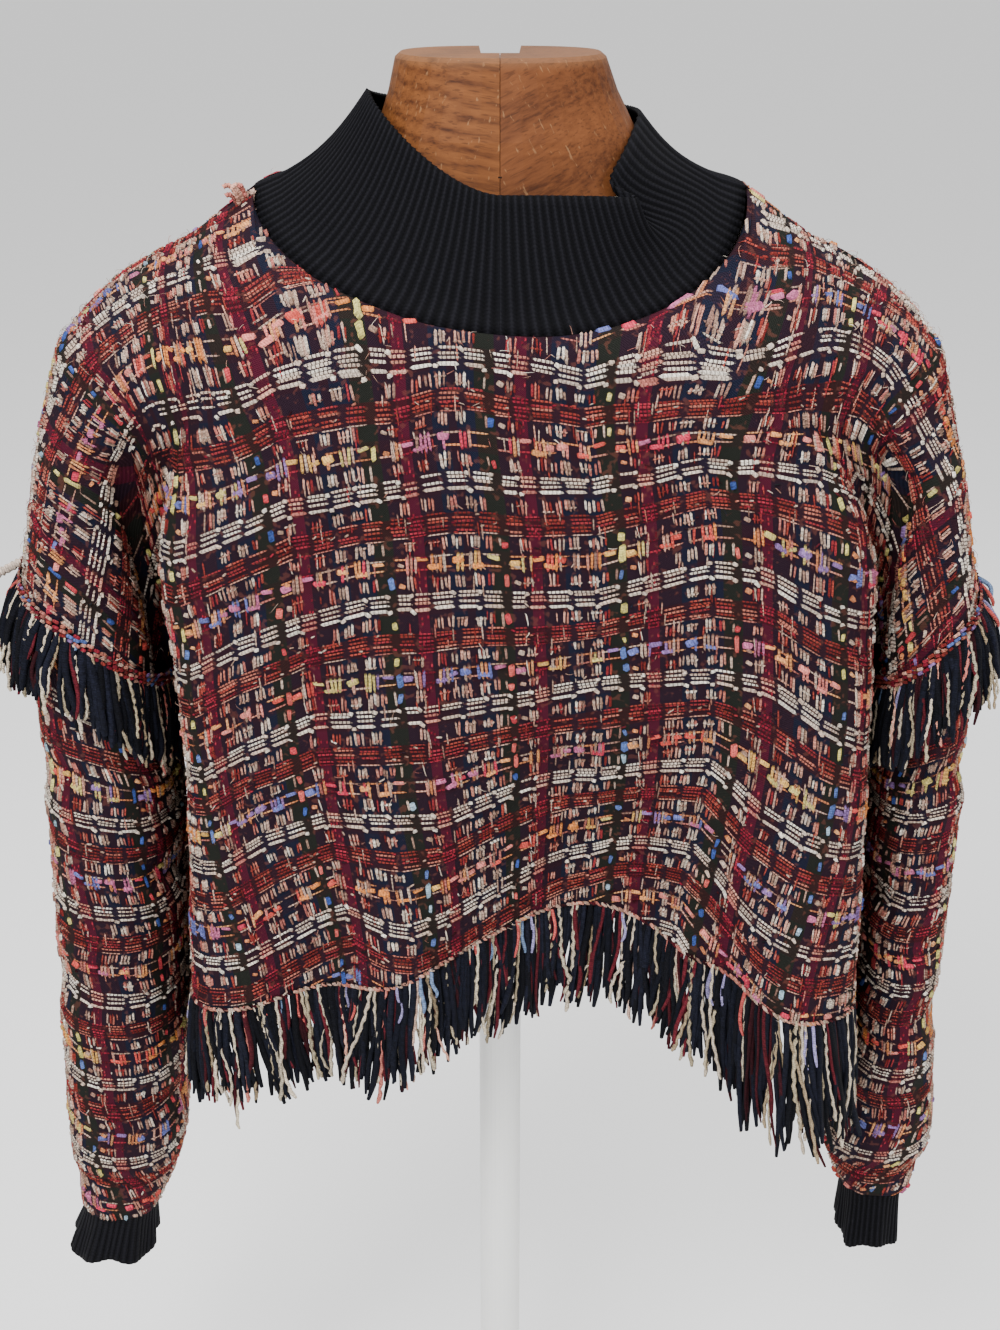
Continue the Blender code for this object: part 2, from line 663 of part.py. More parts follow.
def add_disc(name, radius, low, high, y, bevel, colour, roughness, metallic=0.0):
    """A round plate or post standing at x = 0, with softened edges."""
    mesh = bmesh.new()
    bmesh.ops.create_cone(mesh, cap_ends=True, segments=ROUND_SIDES, radius1=radius,
                          radius2=radius, depth=high - low)
    item = finish_mesh(name, mesh, colour, roughness, metallic)
    item.location = (0.0, y, (low + high) / 2)
    edge = item.modifiers.new("edge", "BEVEL")
    edge.width = bevel
    edge.segments = 1
    return item


def add_stand():
    """Plate, pole, socket and base, each resting on the one below."""
    torso_end = TOP - TORSO_RINGS[-1].drop
    plate_low = torso_end - SEAM - PLATE_THICKNESS
    add_disc("form_plate", PLATE_RADIUS, plate_low, torso_end - SEAM, POLE_Y, EDGE_BEVEL["plate"],
             STEEL_COLOUR, 0.5, 0.6)
    socket_top = BASE_THICKNESS + SEAM + SOCKET_HEIGHT
    add_disc("stand_pole", POLE_RADIUS, socket_top + SEAM, plate_low - SEAM, POLE_Y,
             EDGE_BEVEL["pole"], PAINT_COLOUR, 0.4)
    add_disc("stand_socket", SOCKET_RADIUS, BASE_THICKNESS + SEAM, socket_top, POLE_Y,
             EDGE_BEVEL["socket"], PAINT_COLOUR, 0.4)
    add_disc("stand_base", BASE_RADIUS, 0.0, BASE_THICKNESS, 0.0, EDGE_BEVEL["base"],
             PAINT_COLOUR, 0.4)
    notch_floor = TOP - NOTCH_DEPTH
    add_disc("neck_fitting", FITTING_RADIUS, notch_floor + SEAM,
             notch_floor + SEAM + FITTING_HEIGHT, FITTING_Y, EDGE_BEVEL["fitting"],
             STEEL_COLOUR, 0.5, 0.6)


def build_all():
    add_panel("front", FRONT)
    add_panel("back", BACK)
    for side, word in ((RIGHT, "right"), (LEFT, "left")):
        add_sleeve("sleeve_" + word, side)
        add_cuff("cuff_" + word, side)
        add_arm_fringe("armhole_fringe_" + word, side)
    add_hem_fringe("hem_fringe_front", FRONT)
    add_hem_fringe("hem_fringe_back", BACK)
    add_collar()
    add_neck_block()
    add_torso()
    add_stand()


def clear_scene():
    for item in list(bpy.data.objects):
        bpy.data.objects.remove(item)


clear_scene()
parts = bpy.data.collections.new("fringe_sweater")
cutters = bpy.data.collections.new("cutters")
bpy.context.scene.collection.children.link(parts)
bpy.context.scene.collection.children.link(cutters)
build_all()
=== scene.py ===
"""Looks of the fringe sweater on its dress form: slub tweed, rib, raw fringe and stained oak.

Metres, +Z up, the CAD frame.  The garment faces -Y and its wearer's left is +X.  The tweed is
laid out flat first: U runs along its bands from the middle of the body, V runs down from the
shoulder line, and every yarn is placed by U and V, then carried onto the worn form.
"""

import math
import random
from collections import namedtuple

import bpy
import numpy as np
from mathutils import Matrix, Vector
from mathutils.bvhtree import BVHTree


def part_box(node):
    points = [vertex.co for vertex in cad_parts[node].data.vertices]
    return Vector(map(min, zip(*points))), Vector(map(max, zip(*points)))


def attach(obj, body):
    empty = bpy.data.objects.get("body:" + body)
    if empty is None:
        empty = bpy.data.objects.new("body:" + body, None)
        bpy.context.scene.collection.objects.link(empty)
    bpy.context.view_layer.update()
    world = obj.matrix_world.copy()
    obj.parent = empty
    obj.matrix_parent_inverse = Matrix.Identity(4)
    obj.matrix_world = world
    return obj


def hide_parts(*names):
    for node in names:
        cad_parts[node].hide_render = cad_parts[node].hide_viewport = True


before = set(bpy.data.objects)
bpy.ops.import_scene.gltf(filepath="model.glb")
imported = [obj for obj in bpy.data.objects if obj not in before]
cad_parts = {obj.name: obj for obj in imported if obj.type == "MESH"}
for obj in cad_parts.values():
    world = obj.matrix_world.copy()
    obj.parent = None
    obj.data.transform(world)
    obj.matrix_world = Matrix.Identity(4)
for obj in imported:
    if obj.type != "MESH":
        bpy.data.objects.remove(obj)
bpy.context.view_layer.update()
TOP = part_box("neck_block_left")[1][2]      # heights in the tables are drops below this

FRONT, BACK = -1, 1
RIGHT, LEFT = -1, 1
SIDE_WORD = {RIGHT: "right", LEFT: "left"}
MM = 0.001
TURN = 2 * math.pi                         # once round, in radians
WALL, RIB_WALL = 0.0020, 0.0018            # cloth without the yarns that stand out of it
SEAM_CLEAR = 0.00015


def table(columns, *rows):
    """Rows with named columns."""
    row_type = namedtuple("Row", columns)
    return tuple(row_type(*row) for row in rows)


# ---------------------------------------------------------------- the worn form

BODY_RINGS = table(
    "drop centre_x half_width front back squareness",
    (0.140, 0.004, 0.178, 0.101, 0.084, 2.6),
    (0.187, 0.006, 0.182, 0.111, 0.096, 3.8),
    (0.247, 0.009, 0.187, 0.112, 0.100, 5.5),
    (0.330, 0.013, 0.184, 0.106, 0.098, 6.5),
    (0.415, 0.014, 0.186, 0.100, 0.096, 6.5),
    (0.510, 0.013, 0.188, 0.098, 0.096, 6.5))
ARM_RING = "drop outer inner centre_y half_depth slant"
ARM_RINGS = {
    RIGHT: table(
        ARM_RING,
        (0.144, 0.230, 0.168, 0.000, 0.064, 0.000),
        (0.195, 0.243, 0.178, 0.000, 0.073, 0.012),
        (0.284, 0.256, 0.183, 0.000, 0.080, 0.046),
        (0.340, 0.258, 0.181, -0.003, 0.074, 0.034),
        (0.415, 0.258, 0.179, -0.005, 0.066, 0.016),
        (0.550, 0.263, 0.184, -0.004, 0.056, 0.006),
        (0.640, 0.266, 0.192, -0.002, 0.046, 0.004),
        (0.684, 0.263, 0.209, 0.000, 0.034, 0.004),
        (0.718, 0.275, 0.212, 0.000, 0.036, 0.002)),
    LEFT: table(
        ARM_RING,
        (0.144, 0.229, 0.172, 0.000, 0.064, 0.000),
        (0.195, 0.241, 0.192, 0.000, 0.074, 0.012),
        (0.284, 0.255, 0.204, 0.000, 0.083, 0.044),
        (0.340, 0.262, 0.207, 0.006, 0.078, 0.032),
        (0.415, 0.264, 0.208, 0.010, 0.070, 0.014),
        (0.550, 0.263, 0.207, 0.011, 0.060, 0.006),
        (0.635, 0.268, 0.195, 0.006, 0.048, 0.004),
        (0.668, 0.258, 0.206, 0.004, 0.035, 0.003),
        (0.711, 0.257, 0.206, 0.004, 0.036, 0.002)),
}
ARM_SQUARENESS = 2.3
ARMHOLE_DROP = 0.284
SLEEVE_END = {RIGHT: 0.684, LEFT: 0.668}
CUFF_END = {RIGHT: 0.718, LEFT: 0.711}
SLEEVE_INSET, CUFF_INSET, CUFF_LAP = 0.0035, 0.0070, 0.008
ARMHOLE_TILT = {RIGHT: ((0.165, 0.0), (0.182, -0.010), (0.262, 0.019)),
                LEFT: ((0.185, 0.0), (0.201, -0.014), (0.262, 0.014))}   # half width, rise of the seam
TILT_ABOVE, TILT_BELOW = 0.12, 0.07        # how far above and below the seam the slope is felt
YOKE_DROP, YOKE_SQUARENESS, YOKE_ROUNDNESS = 0.144, 2.7, 0.65
FOLD_STARTS, FOLD_SETTLED = 108.0, 0.45    # degrees round the arm; share of the way to the underarm
SHOULDER_SHARE = 25 / 28                   # of the shoulder line, before the outer column
SHOULDER_LINE = ((0.1245, 0.0640), (0.1420, 0.0775), (0.1600, 0.0905), (0.1780, 0.0990),
                 (0.1960, 0.1100), (0.2120, 0.1235), (0.2300, 0.1440))      # x, drop

FOLDS = table(
    "face x half_width depth top",
    (FRONT, 0.052, 0.112, -0.056, 0.250),
    (FRONT, -0.055, 0.045, 0.007, 0.360),
    (FRONT, -0.098, 0.045, -0.014, 0.330),
    (FRONT, 0.158, 0.036, 0.009, 0.400),
    (BACK, -0.060, 0.080, -0.018, 0.240),
    (BACK, 0.075, 0.060, 0.012, 0.300),
    (BACK, -0.135, 0.040, 0.008, 0.320))
HEM_DROP, HEM_LIFT_X = 0.514, 0.045
HEM_LIFT = {FRONT: 0.056, BACK: 0.010}
HEM_LIFT_WIDTH = {RIGHT: 0.170, LEFT: 0.100}

NECK_HALF_WIDTH = 0.1225
NECK_FRONT, NECK_BACK = 0.090, 0.072
NECK_SIDE_DROP, NECK_FRONT_DROP, NECK_BACK_DROP = 0.0655, 0.123, 0.061
NECK_OUTWARD = 0.0034                      # the tweed's neck edge stands this far off the collar
NECK_TURN = math.radians(10)

# Column coordinates: 0 middle, 8 neck point, 12 to 13 the fold beside the arm, 22 outside of arm
NECK_COLUMN, FOLD_COLUMN, ARM_COLUMN, LAST_COLUMN = 8.0, 12.0, 13.0, 22.0
BODY_COLUMNS = np.linspace(0.0, FOLD_COLUMN, 49)
ARM_COLUMNS = np.linspace(ARM_COLUMN, LAST_COLUMN, 31)
COLUMNS = np.concatenate((BODY_COLUMNS, ARM_COLUMNS))
BODY_COUNT, ARM_COUNT = len(BODY_COLUMNS), len(ARM_COLUMNS)
YOKE_ROWS, ARM_ROWS, SKIRT_ROWS = 16, 20, 30
FINE = 60

# Creases from one end to the other as (x, drop); depth is outward
CREASES = table(
    "face x0 drop0 x1 drop1 half_width depth",
    (FRONT, -0.165, 0.245, -0.090, 0.185, 0.016, 0.0035),
    (FRONT, -0.172, 0.290, -0.105, 0.240, 0.018, -0.0030),
    (FRONT, 0.178, 0.240, 0.120, 0.190, 0.016, 0.0030),
    (FRONT, 0.182, 0.290, 0.118, 0.235, 0.020, -0.0030),
    (FRONT, -0.150, 0.330, -0.128, 0.505, 0.020, -0.0035),
    (FRONT, -0.085, 0.380, -0.050, 0.505, 0.022, 0.0030),
    (FRONT, 0.120, 0.400, 0.131, 0.515, 0.013, -0.0060),
    (FRONT, 0.104, 0.410, 0.112, 0.505, 0.011, 0.0040),
    (FRONT, 0.020, 0.300, 0.045, 0.400, 0.030, -0.0020),
    (BACK, -0.160, 0.250, -0.080, 0.190, 0.020, 0.0040),
    (BACK, -0.165, 0.300, -0.100, 0.250, 0.018, -0.0035),
    (BACK, 0.176, 0.245, 0.090, 0.200, 0.022, 0.0040),
    (BACK, 0.180, 0.300, 0.110, 0.245, 0.018, -0.0030),
    (BACK, -0.110, 0.330, -0.090, 0.500, 0.018, -0.0040),
    (BACK, 0.030, 0.350, 0.020, 0.505, 0.022, 0.0035),
    (BACK, 0.120, 0.340, 0.140, 0.500, 0.018, -0.0040))
VALLEY_DEPTH, VALLEY_COLUMN, VALLEY_WIDTH = 0.0105, 12.9, 1.7
# Creases round a sleeve: turn is in degrees from the outside, tilt is the drop over half_turn
SLEEVE_CREASES = table(
    "side drop turn half_turn half_width depth tilt",
    (RIGHT, 0.365, -70, 80, 0.012, -0.0040, 0.020),
    (RIGHT, 0.430, -150, 70, 0.012, -0.0045, -0.018),
    (RIGHT, 0.505, -60, 75, 0.013, -0.0040, 0.016),
    (RIGHT, 0.590, -130, 80, 0.012, -0.0050, -0.014),
    (RIGHT, 0.655, -80, 100, 0.009, -0.0045, 0.008),
    (RIGHT, 0.470, 90, 90, 0.014, -0.0040, 0.015),
    (RIGHT, 0.600, 110, 80, 0.012, -0.0045, -0.012),
    (LEFT, 0.372, -60, 80, 0.012, -0.0040, 0.018),
    (LEFT, 0.450, -140, 70, 0.012, -0.0045, -0.020),
    (LEFT, 0.535, -70, 80, 0.013, -0.0045, 0.016),
    (LEFT, 0.600, -120, 80, 0.012, -0.0050, -0.012),
    (LEFT, 0.648, -70, 100, 0.009, -0.0040, 0.006),
    (LEFT, 0.480, 80, 90, 0.014, -0.0040, 0.012),
    (LEFT, 0.580, 120, 80, 0.012, -0.0045, -0.014))


def smooth(value):
    value = np.clip(value, 0.0, 1.0)
    return value * value * (3.0 - 2.0 * value)


def mix(a, b, share):
    return a + (b - a) * share


def unit(vectors):
    return vectors / np.maximum(np.linalg.norm(vectors, axis=-1, keepdims=True), 1e-12)


def lengths_along(points, axis):
    """Running length of a path or grid along one axis, starting at 0."""
    steps = np.diff(points, axis=axis, prepend=np.take(points, [0], axis=axis))
    return np.cumsum(np.linalg.norm(steps, axis=-1), axis=axis)


def along(points, shares):
    """Points at the given shares of a path's length."""
    points = np.asarray(points, float)
    lengths = lengths_along(points, 0)
    goals = np.asarray(shares) * lengths[-1]
    return np.stack([np.interp(goals, lengths, points[:, axis]) for axis in range(3)], axis=1)


def grid_normals(points, out):
    return unit(np.cross(np.gradient(points, axis=0), np.gradient(points, axis=1)) * out)


def table_row(rows, drop):
    """The table's row at any drop, on a smooth curve through its own rows."""
    at = sum(drop > row.drop for row in rows[1:-1])
    a, b, c, d = (np.array(rows[min(max(k, 0), len(rows) - 1)]) for k in range(at - 1, at + 3))
    span = c[0] - b[0]
    s = min(1.0, max(0.0, (drop - b[0]) / span))
    slope_b = (c - a) / (c[0] - a[0]) * span
    slope_c = (d - b) / (d[0] - b[0]) * span
    values = ((2 * s ** 3 - 3 * s ** 2 + 1) * b + (s ** 3 - 2 * s ** 2 + s) * slope_b
              + (3 * s ** 2 - 2 * s ** 3) * c + (s ** 3 - s ** 2) * slope_c)
    return type(rows[0])(*values)._replace(drop=drop)


def rounded(angle, squareness):
    """Where a ray at this angle meets a unit circle drawn out towards a square."""
    cosine, sine = np.cos(angle), np.sin(angle)
    size = (np.abs(cosine) ** squareness + np.abs(sine) ** squareness) ** (-1.0 / squareness)
    return cosine * size, sine * size


def arm_points(side, drop, angles, inset=0.0):
    """Points round the arm: angle 0 outside, -90 degrees front, 180 inside."""
    ring = table_row(ARM_RINGS[side], drop)
    cosine, sine = rounded(angles, ARM_SQUARENESS)
    x = (ring.outer + ring.inner) / 2 + ((ring.outer - ring.inner) / 2 - inset) * cosine
    y = ring.centre_y + (ring.half_depth - inset) * sine
    fall = ring.slant * ((1.0 - np.cos(angles)) / 2) ** 3
    return np.stack([side * x, y, TOP - drop - fall], axis=-1)


def tilt_armhole(side, points):
    """The dropped armholes slope down from the outside of the arm towards the body."""
    lean = np.interp(np.abs(points[..., 0]), *zip(*ARMHOLE_TILT[side]))
    above = points[..., 2] - (TOP - ARMHOLE_DROP)
    near = smooth(np.where(above > 0.0, 1.0 - above / TILT_ABOVE, 1.0 + above / TILT_BELOW))
    moved = points.copy()
    moved[..., 2] += lean * near
    return moved


def fold_offset(face, x, drop):
    out = np.zeros_like(x)
    for fold in FOLDS:
        if fold.face == face:
            reach = np.minimum(np.abs(x - fold.x) / fold.half_width, 1.0)
            growth = smooth((drop - fold.top) / (HEM_DROP - fold.top))
            out += fold.depth * growth * np.cos(reach * math.pi / 2) ** 2
    return out


def hem_drop(face, x):
    width = np.where(x > HEM_LIFT_X, HEM_LIFT_WIDTH[LEFT], HEM_LIFT_WIDTH[RIGHT])
    return HEM_DROP - HEM_LIFT[face] * np.exp(-((x - HEM_LIFT_X) / width) ** 2)


def body_path(side, face, drop, end_y):
    """Half a level section of the body, from the middle until it is end_y deep."""
    ring = table_row(BODY_RINGS, drop)
    depth = ring.front if face == FRONT else ring.back
    cosine = end_y / depth
    end = math.atan2((1.0 - cosine ** ring.squareness) ** (1.0 / ring.squareness), cosine)
    cosine, sine = rounded(end * np.linspace(0.0, 1.0, FINE + 1), ring.squareness)
    x = ring.centre_x + side * ring.half_width * sine
    y = face * cosine * (depth + fold_offset(face, x, drop))
    return along(np.stack([x, y, np.full_like(x, TOP - drop)], axis=1), BODY_COLUMNS / FOLD_COLUMN)


def plain_section(side, face, drop):
    """A section where the fold has not begun, one rounded sweep to the arm."""
    body = table_row(BODY_RINGS, drop)
    outer = table_row(ARM_RINGS[side], min(drop, ARMHOLE_DROP)).outer
    depth = body.front if face == FRONT else body.back
    cosine, sine = rounded(math.pi / 2 * np.linspace(0.0, 1.0, FINE + 1), YOKE_SQUARENESS)
    path = np.stack([side * outer * sine, face * depth * cosine, np.full_like(sine, TOP - drop)], axis=1)
    return along(path, COLUMNS / LAST_COLUMN)


def section(side, face, share):
    """Half a section from the middle to the outside of the arm; share 0 yoke, 1 underarm."""
    outer_drop = mix(YOKE_DROP, ARMHOLE_DROP, share)
    body_drop = outer_drop + table_row(ARM_RINGS[side], outer_drop).slant
    turn = face * math.radians(mix(FOLD_STARTS, 180.0, float(smooth(share))))
    arm = arm_points(side, outer_drop, turn * np.linspace(1.0, 0.0, FINE + 1))
    body = body_path(side, face, body_drop, abs(arm[0, 1]))
    arm = along(arm, (ARM_COLUMNS - ARM_COLUMN) / (LAST_COLUMN - ARM_COLUMN))
    arm[-1, 1] = 0.0
    settle = float(smooth(share / FOLD_SETTLED))
    return mix(plain_section(side, face, body_drop), np.concatenate((body, arm)), settle)


def neck_point(angle, outward=0.0):
    """The seam under the collar: angle 0 at the front, positive to the wearer's left."""
    facing = math.cos(angle)
    depth, drop, near = NECK_BACK, NECK_BACK_DROP, -facing
    if facing > 0:
        depth, drop, near = NECK_FRONT, NECK_FRONT_DROP, max(0.0, math.cos(angle - NECK_TURN * facing))
    return np.array([(NECK_HALF_WIDTH + outward) * math.sin(angle),
                     -(depth + outward) * facing, TOP - mix(NECK_SIDE_DROP, drop, near)])


def top_edge(side, face):
    """A panel's upper edge: round the neck, then along the shoulder line."""
    middle = 0.0 if face == FRONT else math.pi
    neck = [neck_point(side * mix(middle, math.pi / 2, step / FINE), NECK_OUTWARD)
            for step in range(FINE + 1)]
    line = [np.array([side * x, 0.0, TOP - drop]) for x, drop in SHOULDER_LINE]
    line[0] = neck[-1]
    line[-1] = np.array([side * ARM_RINGS[side][0].outer, 0.0, TOP - YOKE_DROP])
    on_neck = BODY_COLUMNS[BODY_COLUMNS < NECK_COLUMN - 1e-9]
    beyond = COLUMNS[len(on_neck):]
    shares = (beyond - NECK_COLUMN) / (LAST_COLUMN - NECK_COLUMN) * SHOULDER_SHARE
    return np.concatenate((along(neck, on_neck / NECK_COLUMN), along(line, shares)))


def half_rows(side, face):
    """All rows of half a panel: the yoke and arm rows are whole, the skirt's end at the side."""
    top, bottom = top_edge(side, face), section(side, face, 0.0)
    rows, skirt = [], []
    for share in np.arange(YOKE_ROWS) / YOKE_ROWS:
        over = mix(share, math.sin(math.pi / 2 * share), YOKE_ROUNDNESS)
        down = mix(share, 1.0 - math.cos(math.pi / 2 * share), YOKE_ROUNDNESS)
        rows.append(mix(top, bottom, np.array([down, over, down])))
    rows += [section(side, face, row / ARM_ROWS) for row in range(ARM_ROWS + 1)]
    start = rows[-1][0, 2]
    for share in np.arange(1, SKIRT_ROWS + 1) / SKIRT_ROWS:
        path = body_path(side, face, mix(TOP - start, HEM_DROP, share), 0.0)
        path[:, 2] = mix(start, TOP - hem_drop(face, path[:, 0]), share)
        skirt.append(path)
    return np.array(rows), np.array(skirt)


def crease_offset(face, points):
    """How far the creases and the cloth's own unevenness move each point out."""
    x, drop = points[..., 0], TOP - points[..., 2]
    out = 0.0006 * np.sin(61 * x + 2.1 * face + 1.3 * np.sin(47 * drop)) * np.sin(53 * drop + 29 * x)
    for crease in CREASES:
        if crease.face == face:
            run = np.array([crease.x1 - crease.x0, crease.drop1 - crease.drop0])
            reach = np.linalg.norm(run)
            run /= reach
            ahead = (x - crease.x0) * run[0] + (drop - crease.drop0) * run[1]
            aside = (x - crease.x0) * run[1] - (drop - crease.drop0) * run[0]
            share = np.clip(ahead / reach, -0.2, 1.2)
            taper = smooth((share + 0.2) / 0.5) * smooth((1.2 - share) / 0.5)
            bend = 0.35 * crease.half_width * np.sin(math.pi * share)
            out += crease.depth * taper * np.exp(-((aside + bend) / crease.half_width) ** 2)
    return out


def valley_offset(row_count):
    """The fold between arm and body opens into a deeper, darker valley than its section."""
    columns = np.concatenate((COLUMNS[::-1], COLUMNS[1:]))
    settled = smooth(((np.arange(row_count) - YOKE_ROWS) / ARM_ROWS - 0.05) / 0.35)
    return -VALLEY_DEPTH * np.outer(settled, np.exp(-((columns - VALLEY_COLUMN) / VALLEY_WIDTH) ** 2))


# ---------------------------------------------------------------- the cloth laid flat

REPEAT_U, REPEAT_V = 0.0570, 0.0600
STRIPE_U = 0.0095                          # a crimson stripe's place to the left of the middle
PANEL_LENGTH = 0.475                       # neck point to hem along the cloth
CREAM_V = 0.0180                           # the first cream band below the shoulder line
CREAM_SHARE = 0.095                        # where the chart below has the cream band's middle
CORNER_POWER = 4.0
FAN, FAN_DEPTH = 0.28, 0.16                # the lengthwise yarns fan out towards the shoulders
ARM_SEAM_U = {RIGHT: 0.111, LEFT: 0.098}   # U at the neck point, for bands that follow the arm
ARM_SEAM_V = {RIGHT: 0.035, LEFT: 0.065}   # V on the shoulder line, at the front
BLEND_COLUMN = 12.5                        # where bands that hang level meet bands along the arm
BLEND_WIDTHS = 6.0, 0.2                    # columns they take to blend: in the yoke, in the fold

# How far up the front the bands have been pulled, in centimetres: u is the place across,
# at_14 is the pull on the band 14 cm below the shoulder, and so on
FRONT_PULLS = table(
    "u at_8 at_14 at_20 at_26 at_32 at_38 at_44",
    (-24.0, 4.0, 2.4, -0.2, -1.8, -1.8, -1.4, -1.0),
    (-17.5, 4.6, 2.6, 0.0, -1.6, -1.5, -1.1, -0.8),
    (-14.2, 5.1, 2.9, 1.0, -0.2, 0.0, 0.4, 0.0),
    (-10.9, 4.6, 3.6, 1.8, 0.6, 0.8, 0.9, 1.1),
    (-7.6, 3.2, 2.5, 1.1, 0.6, 0.0, -0.2, -0.8),
    (-4.8, 1.0, 0.6, 0.3, 0.0, -0.4, -1.0, -1.1),
    (0.0, 0.0, -0.2, 0.0, 0.0, 0.2, -0.2, -0.8),
    (4.1, 0.3, 0.3, 0.7, 0.6, 1.6, 0.4, 0.0),
    (6.9, 3.5, 2.4, 2.4, 2.0, 2.2, 2.1, 1.7),
    (9.7, 8.0, 5.2, 5.2, 3.7, 3.0, 3.4, 3.2),
    (12.4, 10.1, 6.7, 6.6, 4.2, 3.3, 1.8, 1.1),
    (15.2, 10.0, 6.6, 6.3, 3.1, 1.9, 0.9, 0.8),
    (18.5, 9.5, 6.3, 4.3, 2.2, 0.8, 0.5, 0.5),
    (24.0, 9.0, 6.0, 3.6, 1.6, 0.6, 0.3, 0.3))
PULL_V = np.array((7.8, 13.8, 19.8, 25.8, 31.8, 37.8, 43.8)) / 100
SETTLE_TURNS, SETTLE_SHARE = 6, 0.7
BACK_SHOULDER_DEPTH = 0.22


def interval(stations, value):
    """Which interval of the stations a value lies in, and how far through it."""
    at = np.clip(np.interp(value, stations, np.arange(len(stations))), 0, len(stations) - 1.001)
    return at.astype(int), at - at.astype(int)


def pulled(u, v_level):
    """V on the front after the pull on its bands, found by settling on the band's own pull."""
    pulls = np.array(FRONT_PULLS) / 100
    values = pulls[:, 1:]
    left, ahead = interval(pulls[:, 0], u)
    v = v_level
    for _ in range(SETTLE_TURNS):
        top, below = interval(PULL_V, v)
        upper, lower = (mix(values[left, at], values[left + 1, at], ahead) for at in (top, top + 1))
        v = mix(v, v_level + mix(upper, lower, below), SETTLE_SHARE)
    return v


def arm_fields(side, rows, across):
    """U and V by the shoulder line and the line down the outside of the arm."""
    top_run = lengths_along(rows[:1], 1)[0]
    neck_at = int(np.argmin(np.abs(COLUMNS - NECK_COLUMN)))
    seam_top = ARM_SEAM_U[side] + top_run - top_run[neck_at]
    seam_out = seam_top[-1] + lengths_along(rows[:, -1:], 0)[:, 0]
    near_top = (lengths_along(rows, 0) + 1e-4) ** -CORNER_POWER
    near_out = (across[:, -1:] - across + 1e-4) ** -CORNER_POWER
    u = (near_top * seam_top[None, :] + near_out * seam_out[:, None]) / (near_top + near_out)
    return u, (near_top + near_out) ** (-1.0 / CORNER_POWER)


def flat_fields(side, face, rows, skirt):
    """U and V at every grid point of half a panel: its whole rows, then its skirt."""
    count = len(rows)
    down = lengths_along(np.concatenate((rows[:, :BODY_COUNT], skirt)), 0)
    v_body = PANEL_LENGTH - (down[-1] - down)
    across = lengths_along(rows, 1)
    u_rows = across.copy()
    for row in range(YOKE_ROWS):
        u_rows[row] = np.interp(np.abs(rows[row][:, 0]), np.abs(rows[YOKE_ROWS][:, 0]), across[YOKE_ROWS])
    u_body = np.concatenate((u_rows[:, :BODY_COUNT], lengths_along(skirt, 1)))
    if face == FRONT:
        v_flat = pulled(side * u_body, v_body)
    else:
        fade = 1.0 - smooth(down / BACK_SHOULDER_DEPTH)
        v_flat = v_body - v_body[0] * smooth((BODY_COLUMNS - 5.0) / 4.0) * fade
    fan = 1.0 - FAN * (1.0 - smooth(v_body / FAN_DEPTH))
    u_body = u_body * fan
    u_wide = np.concatenate((u_body[:count], u_rows[:, BODY_COUNT:] * fan[:count, -1:]), axis=1)
    v_wide = np.concatenate((v_flat[:count], np.repeat(v_flat[:count, -1:], ARM_COUNT, axis=1)), axis=1)
    u_arm, v_arm = arm_fields(side, rows, across)
    share = np.clip((np.arange(count) - YOKE_ROWS) / ARM_ROWS / FOLD_SETTLED, 0.0, 1.0)
    width = mix(*BLEND_WIDTHS, smooth(share))[:, None]
    to_arm = smooth((COLUMNS[None, :] - BLEND_COLUMN) / width + 0.5)
    u_rows = mix(u_wide, u_arm, to_arm)
    v_rows = mix(v_wide, v_arm + (ARM_SEAM_V[side] if face == FRONT else 0.0), to_arm)
    return np.stack([side * u_rows, v_rows], -1), np.stack([side * u_body[count:], v_flat[count:]], -1)


def quads(at, flip):
    """Four-cornered faces between the rows and columns of a grid, or of many grids, of indices."""
    corners = (at[..., :-1, :-1], at[..., 1:, :-1], at[..., 1:, 1:], at[..., :-1, 1:])
    faces = np.stack(corners, axis=-1).reshape(-1, 4)
    return faces[:, ::-1] if flip else faces


